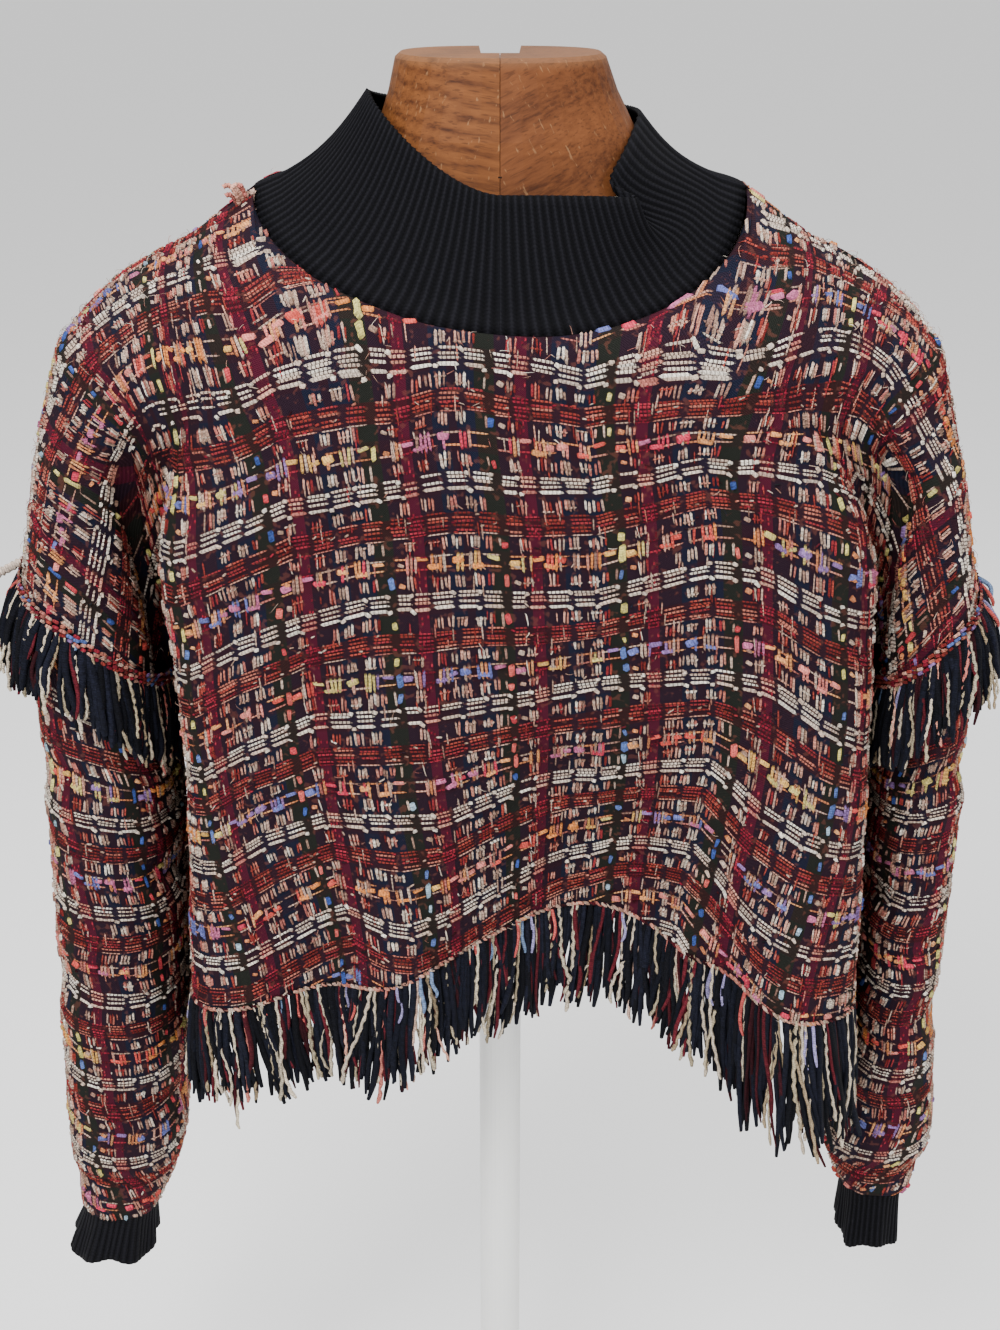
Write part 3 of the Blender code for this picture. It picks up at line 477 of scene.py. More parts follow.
class Cloth:
    """A grid of worn cloth that knows where each of its points lies on the flat cloth."""

    def __init__(self, grid, flat, out):
        self.grid = grid
        self.points, self.flat = grid.reshape(-1, 3), flat.reshape(-1, 2)
        self.normals = grid_normals(grid, out).reshape(-1, 3)
        self.faces = quads(np.arange(len(self.points)).reshape(grid.shape[:2]), out < 0)
        self.triangles = np.concatenate((self.faces[:, [0, 1, 2]], self.faces[:, [0, 2, 3]]))
        places = [(u, v, 0.0) for u, v in self.flat.tolist()]
        self.tree = BVHTree.FromPolygons(places, self.triangles.tolist())

    def find(self, places):
        """Points, normals, distance off the cloth and how much the cloth is drawn out there."""
        index = np.zeros(len(places), int)
        spot = np.zeros((len(places), 2))
        away = np.full(len(places), 1.0)
        for at, (u, v) in enumerate(places.tolist()):
            place, _, face, distance = self.tree.find_nearest((u, v, 0.0))
            if face is not None:
                index[at], spot[at], away[at] = face, place[:2], distance
        corners = self.triangles[index]
        a, b, c = (self.flat[corners[:, k]] for k in range(3))
        ab, ac, ap = b - a, c - a, spot - a
        area = ab[:, 0] * ac[:, 1] - ab[:, 1] * ac[:, 0]
        area = np.where(np.abs(area) < 1e-12, 1e-12, area)
        s = np.clip((ap[:, 0] * ac[:, 1] - ap[:, 1] * ac[:, 0]) / area, 0.0, 1.0)
        t = np.clip((ab[:, 0] * ap[:, 1] - ab[:, 1] * ap[:, 0]) / area, 0.0, 1.0)
        weights = np.stack([1.0 - s - t, s, t], axis=1)[..., None]
        worn = self.points[corners]
        worn_area = np.linalg.norm(np.cross(worn[:, 1] - worn[:, 0], worn[:, 2] - worn[:, 0]), axis=1)
        drawn = np.sqrt(worn_area / np.maximum(np.abs(area), 1e-9))
        return (worn * weights).sum(axis=1), unit((self.normals[corners] * weights).sum(axis=1)), away, drawn


def build_panel(face):
    """A panel's cloths that yarns are laid on: the body with its skirt, and each upper arm."""
    halves = []
    for side in (RIGHT, LEFT):
        rows, skirt = half_rows(side, face)
        halves.append((rows, skirt, *flat_fields(side, face, rows, skirt)))
    rows, skirt, flat_rows, flat_skirt = (np.concatenate((right[:, ::-1], left[:, 1:]), axis=1)
                                          for right, left in zip(*halves))
    inner = slice(ARM_COUNT, -ARM_COUNT)
    rows = np.concatenate((tilt_armhole(RIGHT, rows[:, :ARM_COUNT]), rows[:, inner],
                           tilt_armhole(LEFT, rows[:, -ARM_COUNT:])), axis=1)
    body_normals = grid_normals(np.concatenate((rows[:, inner], skirt)), -face)
    skirt = skirt + body_normals[len(rows):] * crease_offset(face, skirt)[..., None]
    offsets = crease_offset(face, rows) + valley_offset(len(rows))
    rows = rows + grid_normals(rows, -face) * offsets[..., None]
    grids = [(np.concatenate((rows[:, inner], skirt)), np.concatenate((flat_rows[:, inner], flat_skirt)))]
    grids += [(rows[:, part], flat_rows[:, part])
              for part in (slice(0, ARM_COUNT + 1), slice(-ARM_COUNT - 1, None))]
    for points, _ in grids:
        points[..., 1] = face * np.maximum(points[..., 1] * face, SEAM_CLEAR)
    return [Cloth(points, flat, -face) for points, flat in grids]


# ---------------------------------------------------------------- yarns in one repeat

CREAM = ((0.76, 0.64, 0.53), (0.62, 0.50, 0.41), (0.86, 0.78, 0.67), (0.64, 0.48, 0.38))
TAN = ((0.42, 0.26, 0.19), (0.50, 0.34, 0.26), (0.31, 0.17, 0.13), (0.58, 0.43, 0.34))
PEACH = ((0.60, 0.25, 0.18), (0.66, 0.34, 0.25), (0.46, 0.15, 0.12), (0.58, 0.38, 0.30))
RUST = ((0.26, 0.034, 0.026), (0.38, 0.060, 0.042), (0.19, 0.020, 0.018), (0.50, 0.16, 0.11),
        (0.30, 0.030, 0.036))
CRIMSON = ((0.24, 0.012, 0.030), (0.13, 0.007, 0.018), (0.36, 0.024, 0.045))
ORANGE = ((0.68, 0.25, 0.10), (0.56, 0.20, 0.09), (0.72, 0.34, 0.15))
DARK = ((0.014, 0.016, 0.030), (0.022, 0.009, 0.014), (0.010, 0.013, 0.016))
NAVY = ((0.0042, 0.0050, 0.0105), (0.0062, 0.0070, 0.0140), (0.0030, 0.0032, 0.0056))
BURGUNDY = ((0.050, 0.006, 0.010), (0.090, 0.010, 0.016), (0.028, 0.004, 0.007))
SAND = ((0.40, 0.33, 0.22), (0.54, 0.46, 0.34), (0.28, 0.21, 0.13), (0.62, 0.52, 0.40))
FADED = ((0.50, 0.09, 0.08), (0.25, 0.22, 0.40), (0.15, 0.22, 0.36))
BAND_BLUE = ((0.10, 0.16, 0.42), (0.26, 0.15, 0.36))
SPACE_DYES = ((0.76, 0.24, 0.20), (0.66, 0.09, 0.07), (0.76, 0.26, 0.07), (0.74, 0.42, 0.12),
              (0.66, 0.54, 0.18), (0.26, 0.15, 0.36), (0.14, 0.16, 0.42), (0.50, 0.14, 0.26),
              (0.60, 0.05, 0.09), (0.76, 0.32, 0.12))
ACCENTS = (
    ((0.05, 0.10, 0.36), (0.04, 0.08, 0.28), (0.50, 0.05, 0.06), (0.66, 0.12, 0.10)),
    ((0.34, 0.48, 0.58), (0.66, 0.58, 0.20), (0.62, 0.54, 0.16), (0.10, 0.16, 0.40)))

# Strands along the bands: v share, half width and height in mm, colours, depth of the beading
STRANDS = table(
    "v half_width height colours bead",
    (0.018, 0.66, 0.85, CREAM, 0.85),
    (0.056, 0.66, 0.85, CREAM, 0.85),
    (0.094, 0.66, 0.85, CREAM, 0.85),
    (0.146, 0.90, 1.15, CREAM, 0.50),
    (0.352, 0.48, 0.65, RUST, 0.85),
    (0.384, 0.56, 0.70, RUST, 0.85),
    (0.418, 0.58, 0.75, RUST, 0.85),
    (0.452, 0.56, 0.70, RUST, 0.85),
    (0.488, 0.52, 0.65, RUST, 0.85),
    (0.520, 0.36, 0.60, PEACH, 0.70),
    (0.700, 0.48, 0.75, ORANGE + TAN, 0.70),
    (0.796, 0.48, 0.75, PEACH + ORANGE, 0.70))
BLOCKS = table("start end", (-0.075, 0.075), (0.085, 0.285), (0.310, 0.505), (0.530, 0.710), (0.770, 0.915))
KNOT_ROWS, KNOT_REACH = (0.020, 0.160), 0.022

# Tufts across the bands, in groups of loops side by side: u share of the group's middle,
# how many, half width and height in mm, colours, odds
TUFTS = table(
    "u count half_width height colours odds",
    (0.140, 3, 0.52, 1.00, PEACH + RUST, 0.80),
    (0.232, 2, 0.52, 1.00, TAN + PEACH, 0.60),
    (0.335, 3, 0.68, 1.50, TAN + CREAM + TAN + PEACH, 1.00),
    (0.500, 3, 0.64, 1.40, TAN + PEACH + CREAM, 1.00),
    (0.600, 2, 0.60, 1.10, PEACH + RUST, 0.75),
    (0.690, 1, 0.60, 1.00, TAN, 0.50),
    (0.920, 3, 0.58, 1.10, TAN + PEACH + RUST, 0.95))
TUFT_PITCH, TUFT_THREAD_REACH = 0.031, 0.060
THREAD_GROUPS = ((0.07, 0.26), (0.42, 0.61), (0.84, 0.99))
UPPER_TUFTS, LOWER_TUFTS, LAST_TUFTS, LADDER_ROW = table(
    "start end", (0.200, 0.335), (0.530, 0.655), (0.850, 0.990), (0.660, 0.850))
LADDER = (0.105, 0.140, 0.175, 0.210, 0.330, 0.365, 0.445, 0.480, 0.515, 0.550, 0.890, 0.925, 0.960)
STRIPE_COLUMNS = (-0.040, -0.014, 0.014, 0.040)
ACCENT_U, KNOP_U, HAIR_U = 0.738, 0.835, 0.880
SLUBS = table(
    "u v length half_width height odds",
    (0.02, 0.715, 0.110, 1.30, 1.60, 0.90),
    (0.33, 0.740, 0.105, 1.85, 2.10, 0.90),
    (0.64, 0.715, 0.110, 1.20, 1.50, 0.70),
    (0.82, 0.760, 0.095, 1.80, 2.10, 0.80),
    (0.12, 0.790, 0.120, 1.25, 1.50, 0.80),
    (0.50, 0.795, 0.120, 1.30, 1.50, 0.85),
    (0.22, 0.745, 0.080, 1.40, 1.70, 0.60))
MOST_AWAY = 0.0008                         # yarns further off the flat cloth are left off
LEAST_STRETCH, MOST_STRETCH = 0.5, 2.8     # and those that would be this short or long when worn
MOST_DRAWN, ARM_DRAWN = 2.6, 1.65          # and those where the cloth is drawn out more; at the arms
FILL_FROM, FILL_SHIFT, FILL_SEED = 1.32, (0.0010, 0.0012), 90    # a second set where it is drawn out
YARN_SHARES = (0.0, 0.16, 0.84, 1.0)
YARN_ENDS = 0.62                           # width at the ends
YARN_LIFT = (-0.25, 0.95, 1.0, -0.25)
YARN_SHADE = np.array([0.30, 1.0, 0.95, 0.30])  # painted shade, darker where it dips into the cloth


def tinted(colour, shade=1.0, bead=0.0):
    """A yarn's colour, with the depth of its beading as the fourth value."""
    return tuple(c * shade for c in colour) + (bead,)


class YarnList:
    """Short yarns as flat centre lines, gathered before they are carried onto the cloth."""

    def __init__(self, seed):
        self.random = random.Random(seed)
        self.repeat = (0, 0)
        self.lines, self.half_widths, self.heights, self.colours = [], [], [], []

    def jitter(self, reach):
        return self.random.uniform(-reach, reach)

    def place(self, u, v):
        """A place in metres from shares of the repeat."""
        column, row = self.repeat
        return STRIPE_U + (column + u) * REPEAT_U, CREAM_V + (row + v - CREAM_SHARE) * REPEAT_V

    def add(self, start, end, half_width, height, colours, bead=0.0, bow=0.0):
        """A yarn that dips into the cloth at both ends; its width, height and bow are in mm."""
        (u0, v0), (u1, v1) = self.place(*start), self.place(*end)
        shade = self.random.uniform(0.72, 1.12)
        self.colours.append(tinted(self.random.choice(colours), shade, bead))
        if bow:
            bow = self.jitter(bow) * MM
        side = (-(v1 - v0), u1 - u0)
        reach = math.hypot(*side) or 1.0
        side = (side[0] / reach * bow, side[1] / reach * bow)
        self.lines.append([(mix(u0, u1, s) + side[0] * math.sin(math.pi * s),
                            mix(v0, v1, s) + side[1] * math.sin(math.pi * s)) for s in YARN_SHARES])
        swell = (YARN_ENDS, 1.0, self.random.uniform(0.75, 1.15), YARN_ENDS)
        self.half_widths.append([half_width * MM * w for w in swell])
        self.heights.append([height * MM * h for h in YARN_LIFT])


def add_strands(yarns):
    """The cream and rust bands: strands broken where other yarns cross them."""
    rng, jitter = yarns.random, yarns.jitter
    for strand in STRANDS:
        for block in BLOCKS:
            colours = strand.colours
            if block is BLOCKS[0]:
                colours = CRIMSON if strand.colours is not CREAM else PEACH
            if rng.random() < 0.06:
                continue
            v = strand.v + jitter(0.006)
            yarns.add((block.start + jitter(0.012), v), (block.end + jitter(0.012), v + jitter(0.005)),
                      strand.half_width, strand.height, colours, strand.bead, 0.3)


def add_knots(yarns):
    """Bright loops of the thick cream strand between its blocks."""
    for block in BLOCKS[1:]:
        for v in KNOT_ROWS:
            if yarns.random.random() < 0.80:
                u, lean = block.end + yarns.jitter(0.02), yarns.jitter(0.015)
                yarns.add((u - KNOT_REACH, v - lean), (u + KNOT_REACH, v + lean + 0.01),
                          1.0, 1.6, CREAM, 0.0, 0.6)


def add_tufts(yarns):
    """Raised loops across the bands, in groups side by side, some with a thread across them."""
    rng, jitter = yarns.random, yarns.jitter
    for row in (UPPER_TUFTS, LOWER_TUFTS, LAST_TUFTS):
        for tuft in TUFTS:
            if rng.random() > tuft.odds:
                continue
            middle = tuft.u + jitter(0.010)
            top, bottom = rng.uniform(-0.01, 0.025), rng.uniform(-0.01, 0.025)
            for strand in range(tuft.count):
                u = middle + (strand - (tuft.count - 1) / 2) * TUFT_PITCH + jitter(0.004)
                lean, size = jitter(0.006), rng.uniform(0.80, 1.15)
                yarns.add((u - lean, row.start + top + rng.uniform(-0.012, 0.02)),
                          (u + lean, row.end - bottom + rng.uniform(-0.02, 0.012)),
                          tuft.half_width * size, tuft.height * size, tuft.colours, 0.35, 0.25)
            if tuft.count > 2 and rng.random() < 0.70:
                v = mix(row.start, row.end, rng.uniform(0.25, 0.85))
                yarns.add((middle - TUFT_THREAD_REACH, v), (middle + TUFT_THREAD_REACH, v),
                          0.48, tuft.height * 1.10, tuft.colours, 0.85)


def slub_dye(repeat, u, drift):
    """The space-dyed yarn's colour, which changes slowly along the band."""
    column, row = repeat
    start = row * 3.7 + column * 1.3 + 2.0 * math.sin(column * 1.7 + row)
    return SPACE_DYES[int(start + u * 2.2 + drift) % len(SPACE_DYES)]


def add_ladder(yarns):
    """Short floats that cross the slub row like the rungs of a ladder, tinted by its dye."""
    rng = yarns.random
    for u in LADDER:
        if rng.random() < 0.90:
            dye = slub_dye(yarns.repeat, u, rng.uniform(0.0, 0.8))
            colours = (dye,) if rng.random() < 0.40 else ORANGE + PEACH + TAN
            lean = yarns.jitter(0.006)
            yarns.add((u - lean, LADDER_ROW.start + rng.uniform(0, 0.03)),
                      (u + lean, LADDER_ROW.end - rng.uniform(0, 0.03)), 0.70, 1.25, colours, 0.45, 0.3)


def add_slubs(yarns):
    """The space-dyed slub row: its colour drifts along the band."""
    rng = yarns.random
    for slub in SLUBS:
        if rng.random() > slub.odds:
            continue
        dye = slub_dye(yarns.repeat, slub.u, rng.uniform(0.0, 1.2))
        size = rng.uniform(0.8, 1.2)
        yarns.add((slub.u - slub.length / 2, slub.v + yarns.jitter(0.02)),
                  (slub.u + slub.length / 2, slub.v + yarns.jitter(0.02)),
                  slub.half_width * size, slub.height * size, (dye,), 0.0, 0.6)


def add_columns(yarns):
    """The accent slub, the knop yarn and a fine hair that run down the cloth."""
    rng, jitter = yarns.random, yarns.jitter
    column, row = yarns.repeat
    accents = ACCENTS[(column + 1) % 2]
    for at, span in enumerate((UPPER_TUFTS, LOWER_TUFTS, LADDER_ROW, LAST_TUFTS)):
        dye = accents[(row + at) // 2 % len(accents)]
        if rng.random() < 0.62:
            cut = rng.uniform(0.0, 0.05)
            yarns.add((ACCENT_U + jitter(0.015), span.start + cut),
                      (ACCENT_U + jitter(0.015), span.end - 0.02),
                      rng.uniform(0.9, 1.7), rng.uniform(1.2, 1.9), (dye,), 0.15, 0.5)
        if rng.random() < 0.50:
            v = mix(span.start, span.end, rng.uniform(0.3, 0.7))
            yarns.add((KNOP_U - 0.028, v - 0.012), (KNOP_U + 0.028, v + 0.012),
                      rng.uniform(0.9, 1.4), rng.uniform(1.3, 1.9), ORANGE + TAN)
        if rng.random() < 0.40:
            yarns.add((HAIR_U, span.start), (HAIR_U + 0.02, span.end), 0.28, 1.2, CREAM, 0.0, 1.2)


def add_flecks(yarns):
    """The crimson stripe's flecks, rust flecks, lengthwise threads and a few wild hairs."""
    rng, jitter = yarns.random, yarns.jitter
    for _ in range(18):
        u, v = rng.choice(STRIPE_COLUMNS), rng.uniform(0.0, 1.0)
        yarns.add((u, v), (u, v + 0.050), 0.46, 0.7, CRIMSON, 0.8)
    for _ in range(9):
        u, v = rng.uniform(0.08, 0.92), rng.uniform(0.345, 0.515)
        yarns.add((u, v), (u + 0.04, v + jitter(0.02)), 0.50, 0.95, RUST + CRIMSON + TAN, 0.2)
    for low, high in THREAD_GROUPS * 6:
        u, v = rng.uniform(low, high), rng.uniform(0.18, 1.0)
        yarns.add((u, v), (u + jitter(0.01), v + rng.uniform(0.07, 0.17)),
                  0.36, 0.85, PEACH + RUST + TAN, 0.45)
    for _ in range(6):
        u, v = rng.uniform(0.0, 1.0), rng.uniform(0.0, 1.0)
        yarns.add((u, v), (u + jitter(0.07), v + jitter(0.05)),
                  0.26, 1.3, DARK + TAN + BURGUNDY + CREAM, 0.1, 1.2)


def chart_yarns(low, high, seed):
    """Every yarn of the repeats that touch a flat rectangle."""
    yarns = YarnList(seed)
    first, last = (((corner - (STRIPE_U, CREAM_V)) / (REPEAT_U, REPEAT_V)) for corner in (low, high))
    columns, rows = (range(math.floor(start) - 1, math.ceil(end) + 1) for start, end in zip(first, last))
    for row in rows:
        for column in columns:
            yarns.repeat = (column, row)
            for add in (add_strands, add_knots, add_tufts, add_ladder, add_slubs, add_columns, add_flecks):
                add(yarns)
    return yarns


# ---------------------------------------------------------------- meshes from arrays

PROFILE_ACROSS, PROFILE_UP = np.array([-1.0, 0.0, 1.0]), np.array([0.0, 1.0, 0.0])


def mesh_object(name, vertices, faces, material):
    mesh = bpy.data.meshes.new(name)
    mesh.from_pydata(vertices.reshape(-1, 3).tolist(), [], faces.reshape(-1, 4).tolist())
    mesh.materials.append(material)
    item = bpy.data.objects.new(name, mesh)
    bpy.context.scene.collection.objects.link(item)
    mesh.polygons.foreach_set("use_smooth", [True] * len(mesh.polygons))
    mesh.update()
    return item


def set_uv(item, name, u, v):
    """A UV map from one place for each vertex."""
    mesh = item.data
    corners = np.zeros(len(mesh.loops), int)
    mesh.loops.foreach_get("vertex_index", corners)
    places = np.stack(np.broadcast_arrays(u, v), axis=-1).reshape(-1, 2)
    mesh.uv_layers.new(name=name).data.foreach_set("uv", places[corners].astype(float).ravel())


def add_wall(item, thickness):
    solid = item.modifiers.new("wall", "SOLIDIFY")
    solid.thickness = thickness
    solid.offset = -1.0


def ride_as(item, slot, *nodes):
    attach(item, "root")
    if nodes:
        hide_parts(*nodes)


def yarn_object(name, slot, lines, rings, around, colours, closed=False):
    """One piece of many yarns: (n, k) centre lines with a ring of points at each of their steps."""
    at = np.arange(rings.size // 3).reshape(rings.shape[:3])
    if closed:
        at = np.concatenate((at, at[..., :1]), axis=-1)
    item = mesh_object(name, rings, quads(at, True), YARN)
    set_uv(item, "along", lengths_along(lines, 1)[..., None] / MM, around)
    layer = item.data.color_attributes.new("yarn", "FLOAT_COLOR", "POINT")
    layer.data.foreach_set("color", np.broadcast_to(colours, (*rings.shape[:3], 4)).astype(float).ravel())
    ride_as(item, slot)
    return item


def strip_object(name, slot, *yarns):
    """Yarns that lie on the cloth, each with a low ridge along it."""
    centres, normals, half_widths, heights, colours = (np.array(values) for values in yarns)
    steps = centres.shape[1]
    across = unit(np.cross(normals, unit(np.gradient(centres, axis=1))))
    rings = (centres[:, :, None]
             + across[:, :, None] * (half_widths[:, :, None, None] * PROFILE_ACROSS[:, None])
             + normals[:, :, None] * (heights[:, :, None, None] * PROFILE_UP[:, None]))
    # each yarn's colour is darkened towards its ends: painted shade where it dips into the cloth
    shades = np.ones((steps, 1, 4))
    shades[..., :3] = np.interp(np.linspace(0, 1, steps), YARN_SHARES, YARN_SHADE)[:, None, None]
    return yarn_object(name, slot, centres, rings, PROFILE_ACROSS, colours[:, None, None] * shades)


def tube_object(name, slot, sides, *yarns):
    """Round yarns along their paths, with radii to match."""
    paths, radii, colours = (np.array(values) for values in yarns)
    run = unit(np.gradient(paths, axis=1))
    reference = np.where(np.abs(run[..., 1:2]) < 0.8, (0.0, 1.0, 0.0), (1.0, 0.0, 0.0))
    across = unit(np.cross(run, reference))
    other = np.cross(run, across)
    turn = TURN * np.arange(sides) / sides
    spokes = across[:, :, None] * np.cos(turn)[:, None] + other[:, :, None] * np.sin(turn)[:, None]
    rings = paths[:, :, None] + spokes * radii[:, :, None, None]
    around = 2.0 * np.arange(sides) / sides
    return yarn_object(name, slot, paths, rings, around, colours[:, None, None], closed=True)


def carried_yarns(cloth, seed, shift, least_drawn, most_drawn):
    """Chart yarns on one cloth; those off it or where it is drawn out too far are dropped."""
    low, high = cloth.flat.min(axis=0), cloth.flat.max(axis=0)
    yarns = chart_yarns(low, high, seed)
    lines = np.array(yarns.lines) + np.array(shift)
    middle = lines[:, 1:3].mean(axis=1)
    inside = np.all((middle > low) & (middle < high), axis=1)
    lines, widths, heights, colours = (np.array(values)[inside] for values in
                                       (lines, yarns.half_widths, yarns.heights, yarns.colours))
    points, normals, away, drawn = (values.reshape(*lines.shape[:2], -1)
                                    for values in cloth.find(lines.reshape(-1, 2)))
    away, drawn = away[:, 1:3].max(axis=(1, 2)), drawn[:, 1:3].max(axis=(1, 2))
    stretch = (np.linalg.norm(points[:, 2] - points[:, 1], axis=1)
               / np.maximum(np.linalg.norm(lines[:, 2] - lines[:, 1], axis=1), 1e-6))
    keep = (away < MOST_AWAY) & (drawn > least_drawn) & (drawn < most_drawn)
    keep &= (stretch > LEAST_STRETCH) & (stretch < MOST_STRETCH)
    widths = widths * np.clip(drawn, 0.9, 1.25)[:, None]
    return points[keep], normals[keep], widths[keep], heights[keep], colours[keep]


def lay_yarns(name, cloths, seed, fill):
    """The chart's yarns on every cloth, and a second set where the first cloth is drawn out."""
    kept = [carried_yarns(cloth, seed + order, (0.0, 0.0), 0.0, ARM_DRAWN if order else MOST_DRAWN)
            for order, cloth in enumerate(cloths)]
    if fill:
        kept.append(carried_yarns(cloths[0], seed + FILL_SEED, FILL_SHIFT, FILL_FROM, MOST_DRAWN))
    return strip_object(name, "tweed", *(np.concatenate(values) for values in zip(*kept)))


# ---------------------------------------------------------------- materials

class Nodes:
    """Short names for building one material's node tree."""

    def __init__(self, name, roughness, specular=0.3, sheen=0.0):
        self.material = bpy.data.materials.new(name)
        self.material.use_nodes = True
        self.tree = self.material.node_tree
        self.shader = self.tree.nodes["Principled BSDF"]
        self.shader.inputs["Roughness"].default_value = roughness
        self.shader.inputs["Specular IOR Level"].default_value = specular
        self.shader.inputs["Sheen Weight"].default_value = sheen
        self.shader.inputs["Sheen Roughness"].default_value = 0.6

    def add(self, kind, inputs=(), **settings):
        """A node with its settings, and a value or a link for each input that is named."""
        node = self.tree.nodes.new("ShaderNode" + kind)
        for key, value in settings.items():
            setattr(node, key, value)
        for socket, value in inputs:
            self.put(value, node.inputs[socket])
        return node

    def put(self, value, socket):
        if isinstance(value, tuple):
            socket.default_value = (*value, 1.0) if socket.type == "RGBA" else value
        elif isinstance(value, (int, float)):
            socket.default_value = value
        elif value is not None:
            self.tree.links.new(value, socket)

    def math(self, operation, a, b=0.0, c=None):
        return self.add("Math", ((0, a), (1, b), (2, c)), operation=operation).outputs[0]

    def times(self, a, b):
        return self.math("MULTIPLY", a, b)

    def plus(self, a, b):
        return self.math("ADD", a, b)

    def sine(self, value, rate):
        return self.math("SINE", self.times(value, rate))

    def mix_colour(self, share, a, b, blend="MIX"):
        inputs = (("Factor", share), (6, a), (7, b))
        return self.add("Mix", inputs, data_type="RGBA", blend_type=blend).outputs[2]

    def ramp(self, value, stops, interpolation="LINEAR"):
        """A colour ramp; a stop that is one number is a grey."""
        node = self.add("ValToRGB", ((0, value),))
        node.color_ramp.interpolation = interpolation
        elements = node.color_ramp.elements
        while len(elements) < len(stops):
            elements.new(0.5)
        for element, (place, colour) in zip(elements, stops):
            element.position = place
            element.color = (*colour, 1.0) if isinstance(colour, tuple) else (colour, colour, colour, 1.0)
        return node.outputs[0]

    def overlay(self, colour, value, low, high, share, tint):
        """The colour, tinted by a share where the value rises from low to high."""
        mask = self.ramp(value, ((low, 0.0), (high, 1.0)))
        return self.mix_colour(self.times(mask, share), colour, tint)

    def noise(self, scale, detail, vector, roughness=0.5):
        inputs = (("Scale", scale), ("Detail", detail), ("Roughness", roughness), ("Vector", vector))
        return self.add("TexNoise", inputs).outputs["Fac"]

    def bump(self, height, strength, distance, under=None):
        inputs = (("Strength", strength), ("Distance", distance), ("Height", height), ("Normal", under))
        return self.add("Bump", inputs).outputs["Normal"]

    def mapped(self, vector, **inputs):
        return self.add("Mapping", (("Vector", vector), *inputs.items())).outputs[0]

    def split(self, vector):
        return self.add("SeparateXYZ", ((0, vector),)).outputs

    def uv(self, name):
        return self.split(self.add("UVMap", uv_map=name).outputs[0])[:2]

    def place(self):
        return self.add("TexCoord").outputs["Object"]

    def finish(self, colour, normal=None):
        self.put(colour, self.shader.inputs["Base Color"])
        self.put(normal, self.shader.inputs["Normal"])
        return self.material


def mix3(a, b, share):
    return tuple(mix(p, q, share) for p, q in zip(a, b))


def ground_material():
    """Plain weave between the yarns: navy and olive squares, crimson stripes, darker bands, and painted light
    on the weave's raised crossings.
    """
    n = Nodes("tweed_ground", 0.95, 0.08)
    u, v = n.uv("flat")
    navy, olive = (0.0042, 0.0050, 0.0115), (0.0062, 0.0068, 0.0055)
    crimson, wine, band = (0.030, 0.0034, 0.0090), (0.0085, 0.0038, 0.0072), (0.016, 0.0034, 0.0042)
    stripes = ((0.0, crimson), (0.050, wine), (0.250, navy), (0.385, wine),
               (0.455, navy), (0.610, olive), (0.780, wine), (0.950, crimson))
    bands = ((0.0, 0.35), (0.19, 0.0), (0.345, 0.85), (0.52, 0.0), (0.66, 0.30), (0.85, 0.0))
    stripes = n.ramp(n.math("FRACT", u), stripes, "CONSTANT")
    bands = n.ramp(n.math("FRACT", v), bands, "CONSTANT")
    colour = n.mix_colour(n.times(bands, 0.75), stripes, band)
    weave = n.times(n.sine(u, TURN * 58), n.sine(v, TURN * 60))
    lift = n.math("MULTIPLY_ADD", weave, 0.5, 0.5)
    # painted light: the weave's raised crossings are up to 2.6 times lighter, with the same lift as the bump
    colour = n.mix_colour(lift, colour, n.mix_colour(1.0, colour, (2.6, 2.6, 2.6), "MULTIPLY"))
    colour = n.overlay(colour, n.noise(260.0, 1.0, n.place()), 0.60, 0.68, 0.30, (0.16, 0.05, 0.035))
    normal = n.bump(n.noise(900.0, 2.0, n.place()), 0.3, 0.0003)
    return n.finish(colour, n.bump(lift, 0.8, 0.0005, normal))


def yarn_material():
    """Any yarn: its own colour, darker where the strand is tied down, with a twist whose grooves are painted
    darker as shade.
    """
    n = Nodes("yarn", 0.92, 0.12)
    own = n.add("Attribute", attribute_name="yarn").outputs
    run, around = n.uv("along")
    tied = n.times(n.math("GREATER_THAN", n.sine(run, TURN / 2.1), 0.50), own["Alpha"])
    twist = n.math("SINE", n.plus(n.times(run, TURN / 1.3), n.times(around, 3.0)))
    x, _, z = n.split(n.place())
    streaks = ((0, n.times(run, 0.55)), (1, n.times(around, 2.4)), (2, n.times(n.plus(x, z), 260.0)))
    fuzz = n.noise(1.0, 3.0, n.add("CombineXYZ", streaks).outputs[0], 0.65)
    # painted shade: darker in the grooves of the twist; the fuzz below adds random mottling
    shade = n.math("MULTIPLY_ADD", twist, 0.16, 0.90)
    shade = n.times(shade, n.ramp(fuzz, ((0.30, 0.42), (0.52, 0.95), (0.72, 1.45))))
    colour = n.mix_colour(1.0, own["Color"], shade, "MULTIPLY")
    colour = n.mix_colour(tied, colour, (0.020, 0.011, 0.013))
    return n.finish(colour, n.bump(twist, 0.35, 0.0003, n.bump(fuzz, 0.6, 0.0005)))


def rib_material():
    """Near-black rib: small slanted stitches up each rib, painted lighter on each rib's crown as light and
    darker in its grooves as shade.
    """
    n = Nodes("rib", 0.90, 0.10)
    around, up = n.uv("rib")
    slant = n.math("ABSOLUTE", n.math("SUBTRACT", n.math("FRACT", around), 0.5))
    stitch = n.sine(n.plus(up, n.times(slant, 1.2)), TURN)
    fuzz = n.noise(800.0, 3.0, n.place(), 0.6)
    # painted light on each rib's crown, painted shade in the grooves between ribs
    crown = n.times(n.math("SUBTRACT", 0.5, slant), 2.0)
    light = n.plus(n.plus(n.times(crown, 0.8), n.times(stitch, 0.07)), n.times(fuzz, 0.5))
    colour = n.ramp(light, ((0.15, (0.0006, 0.0006, 0.0010)), (0.75, (0.0023, 0.0022, 0.0035)),
                            (1.0, (0.0060, 0.0059, 0.0082))))
    return n.finish(colour, n.bump(stitch, 0.2, 0.0003, n.bump(fuzz, 0.5, 0.0003)))


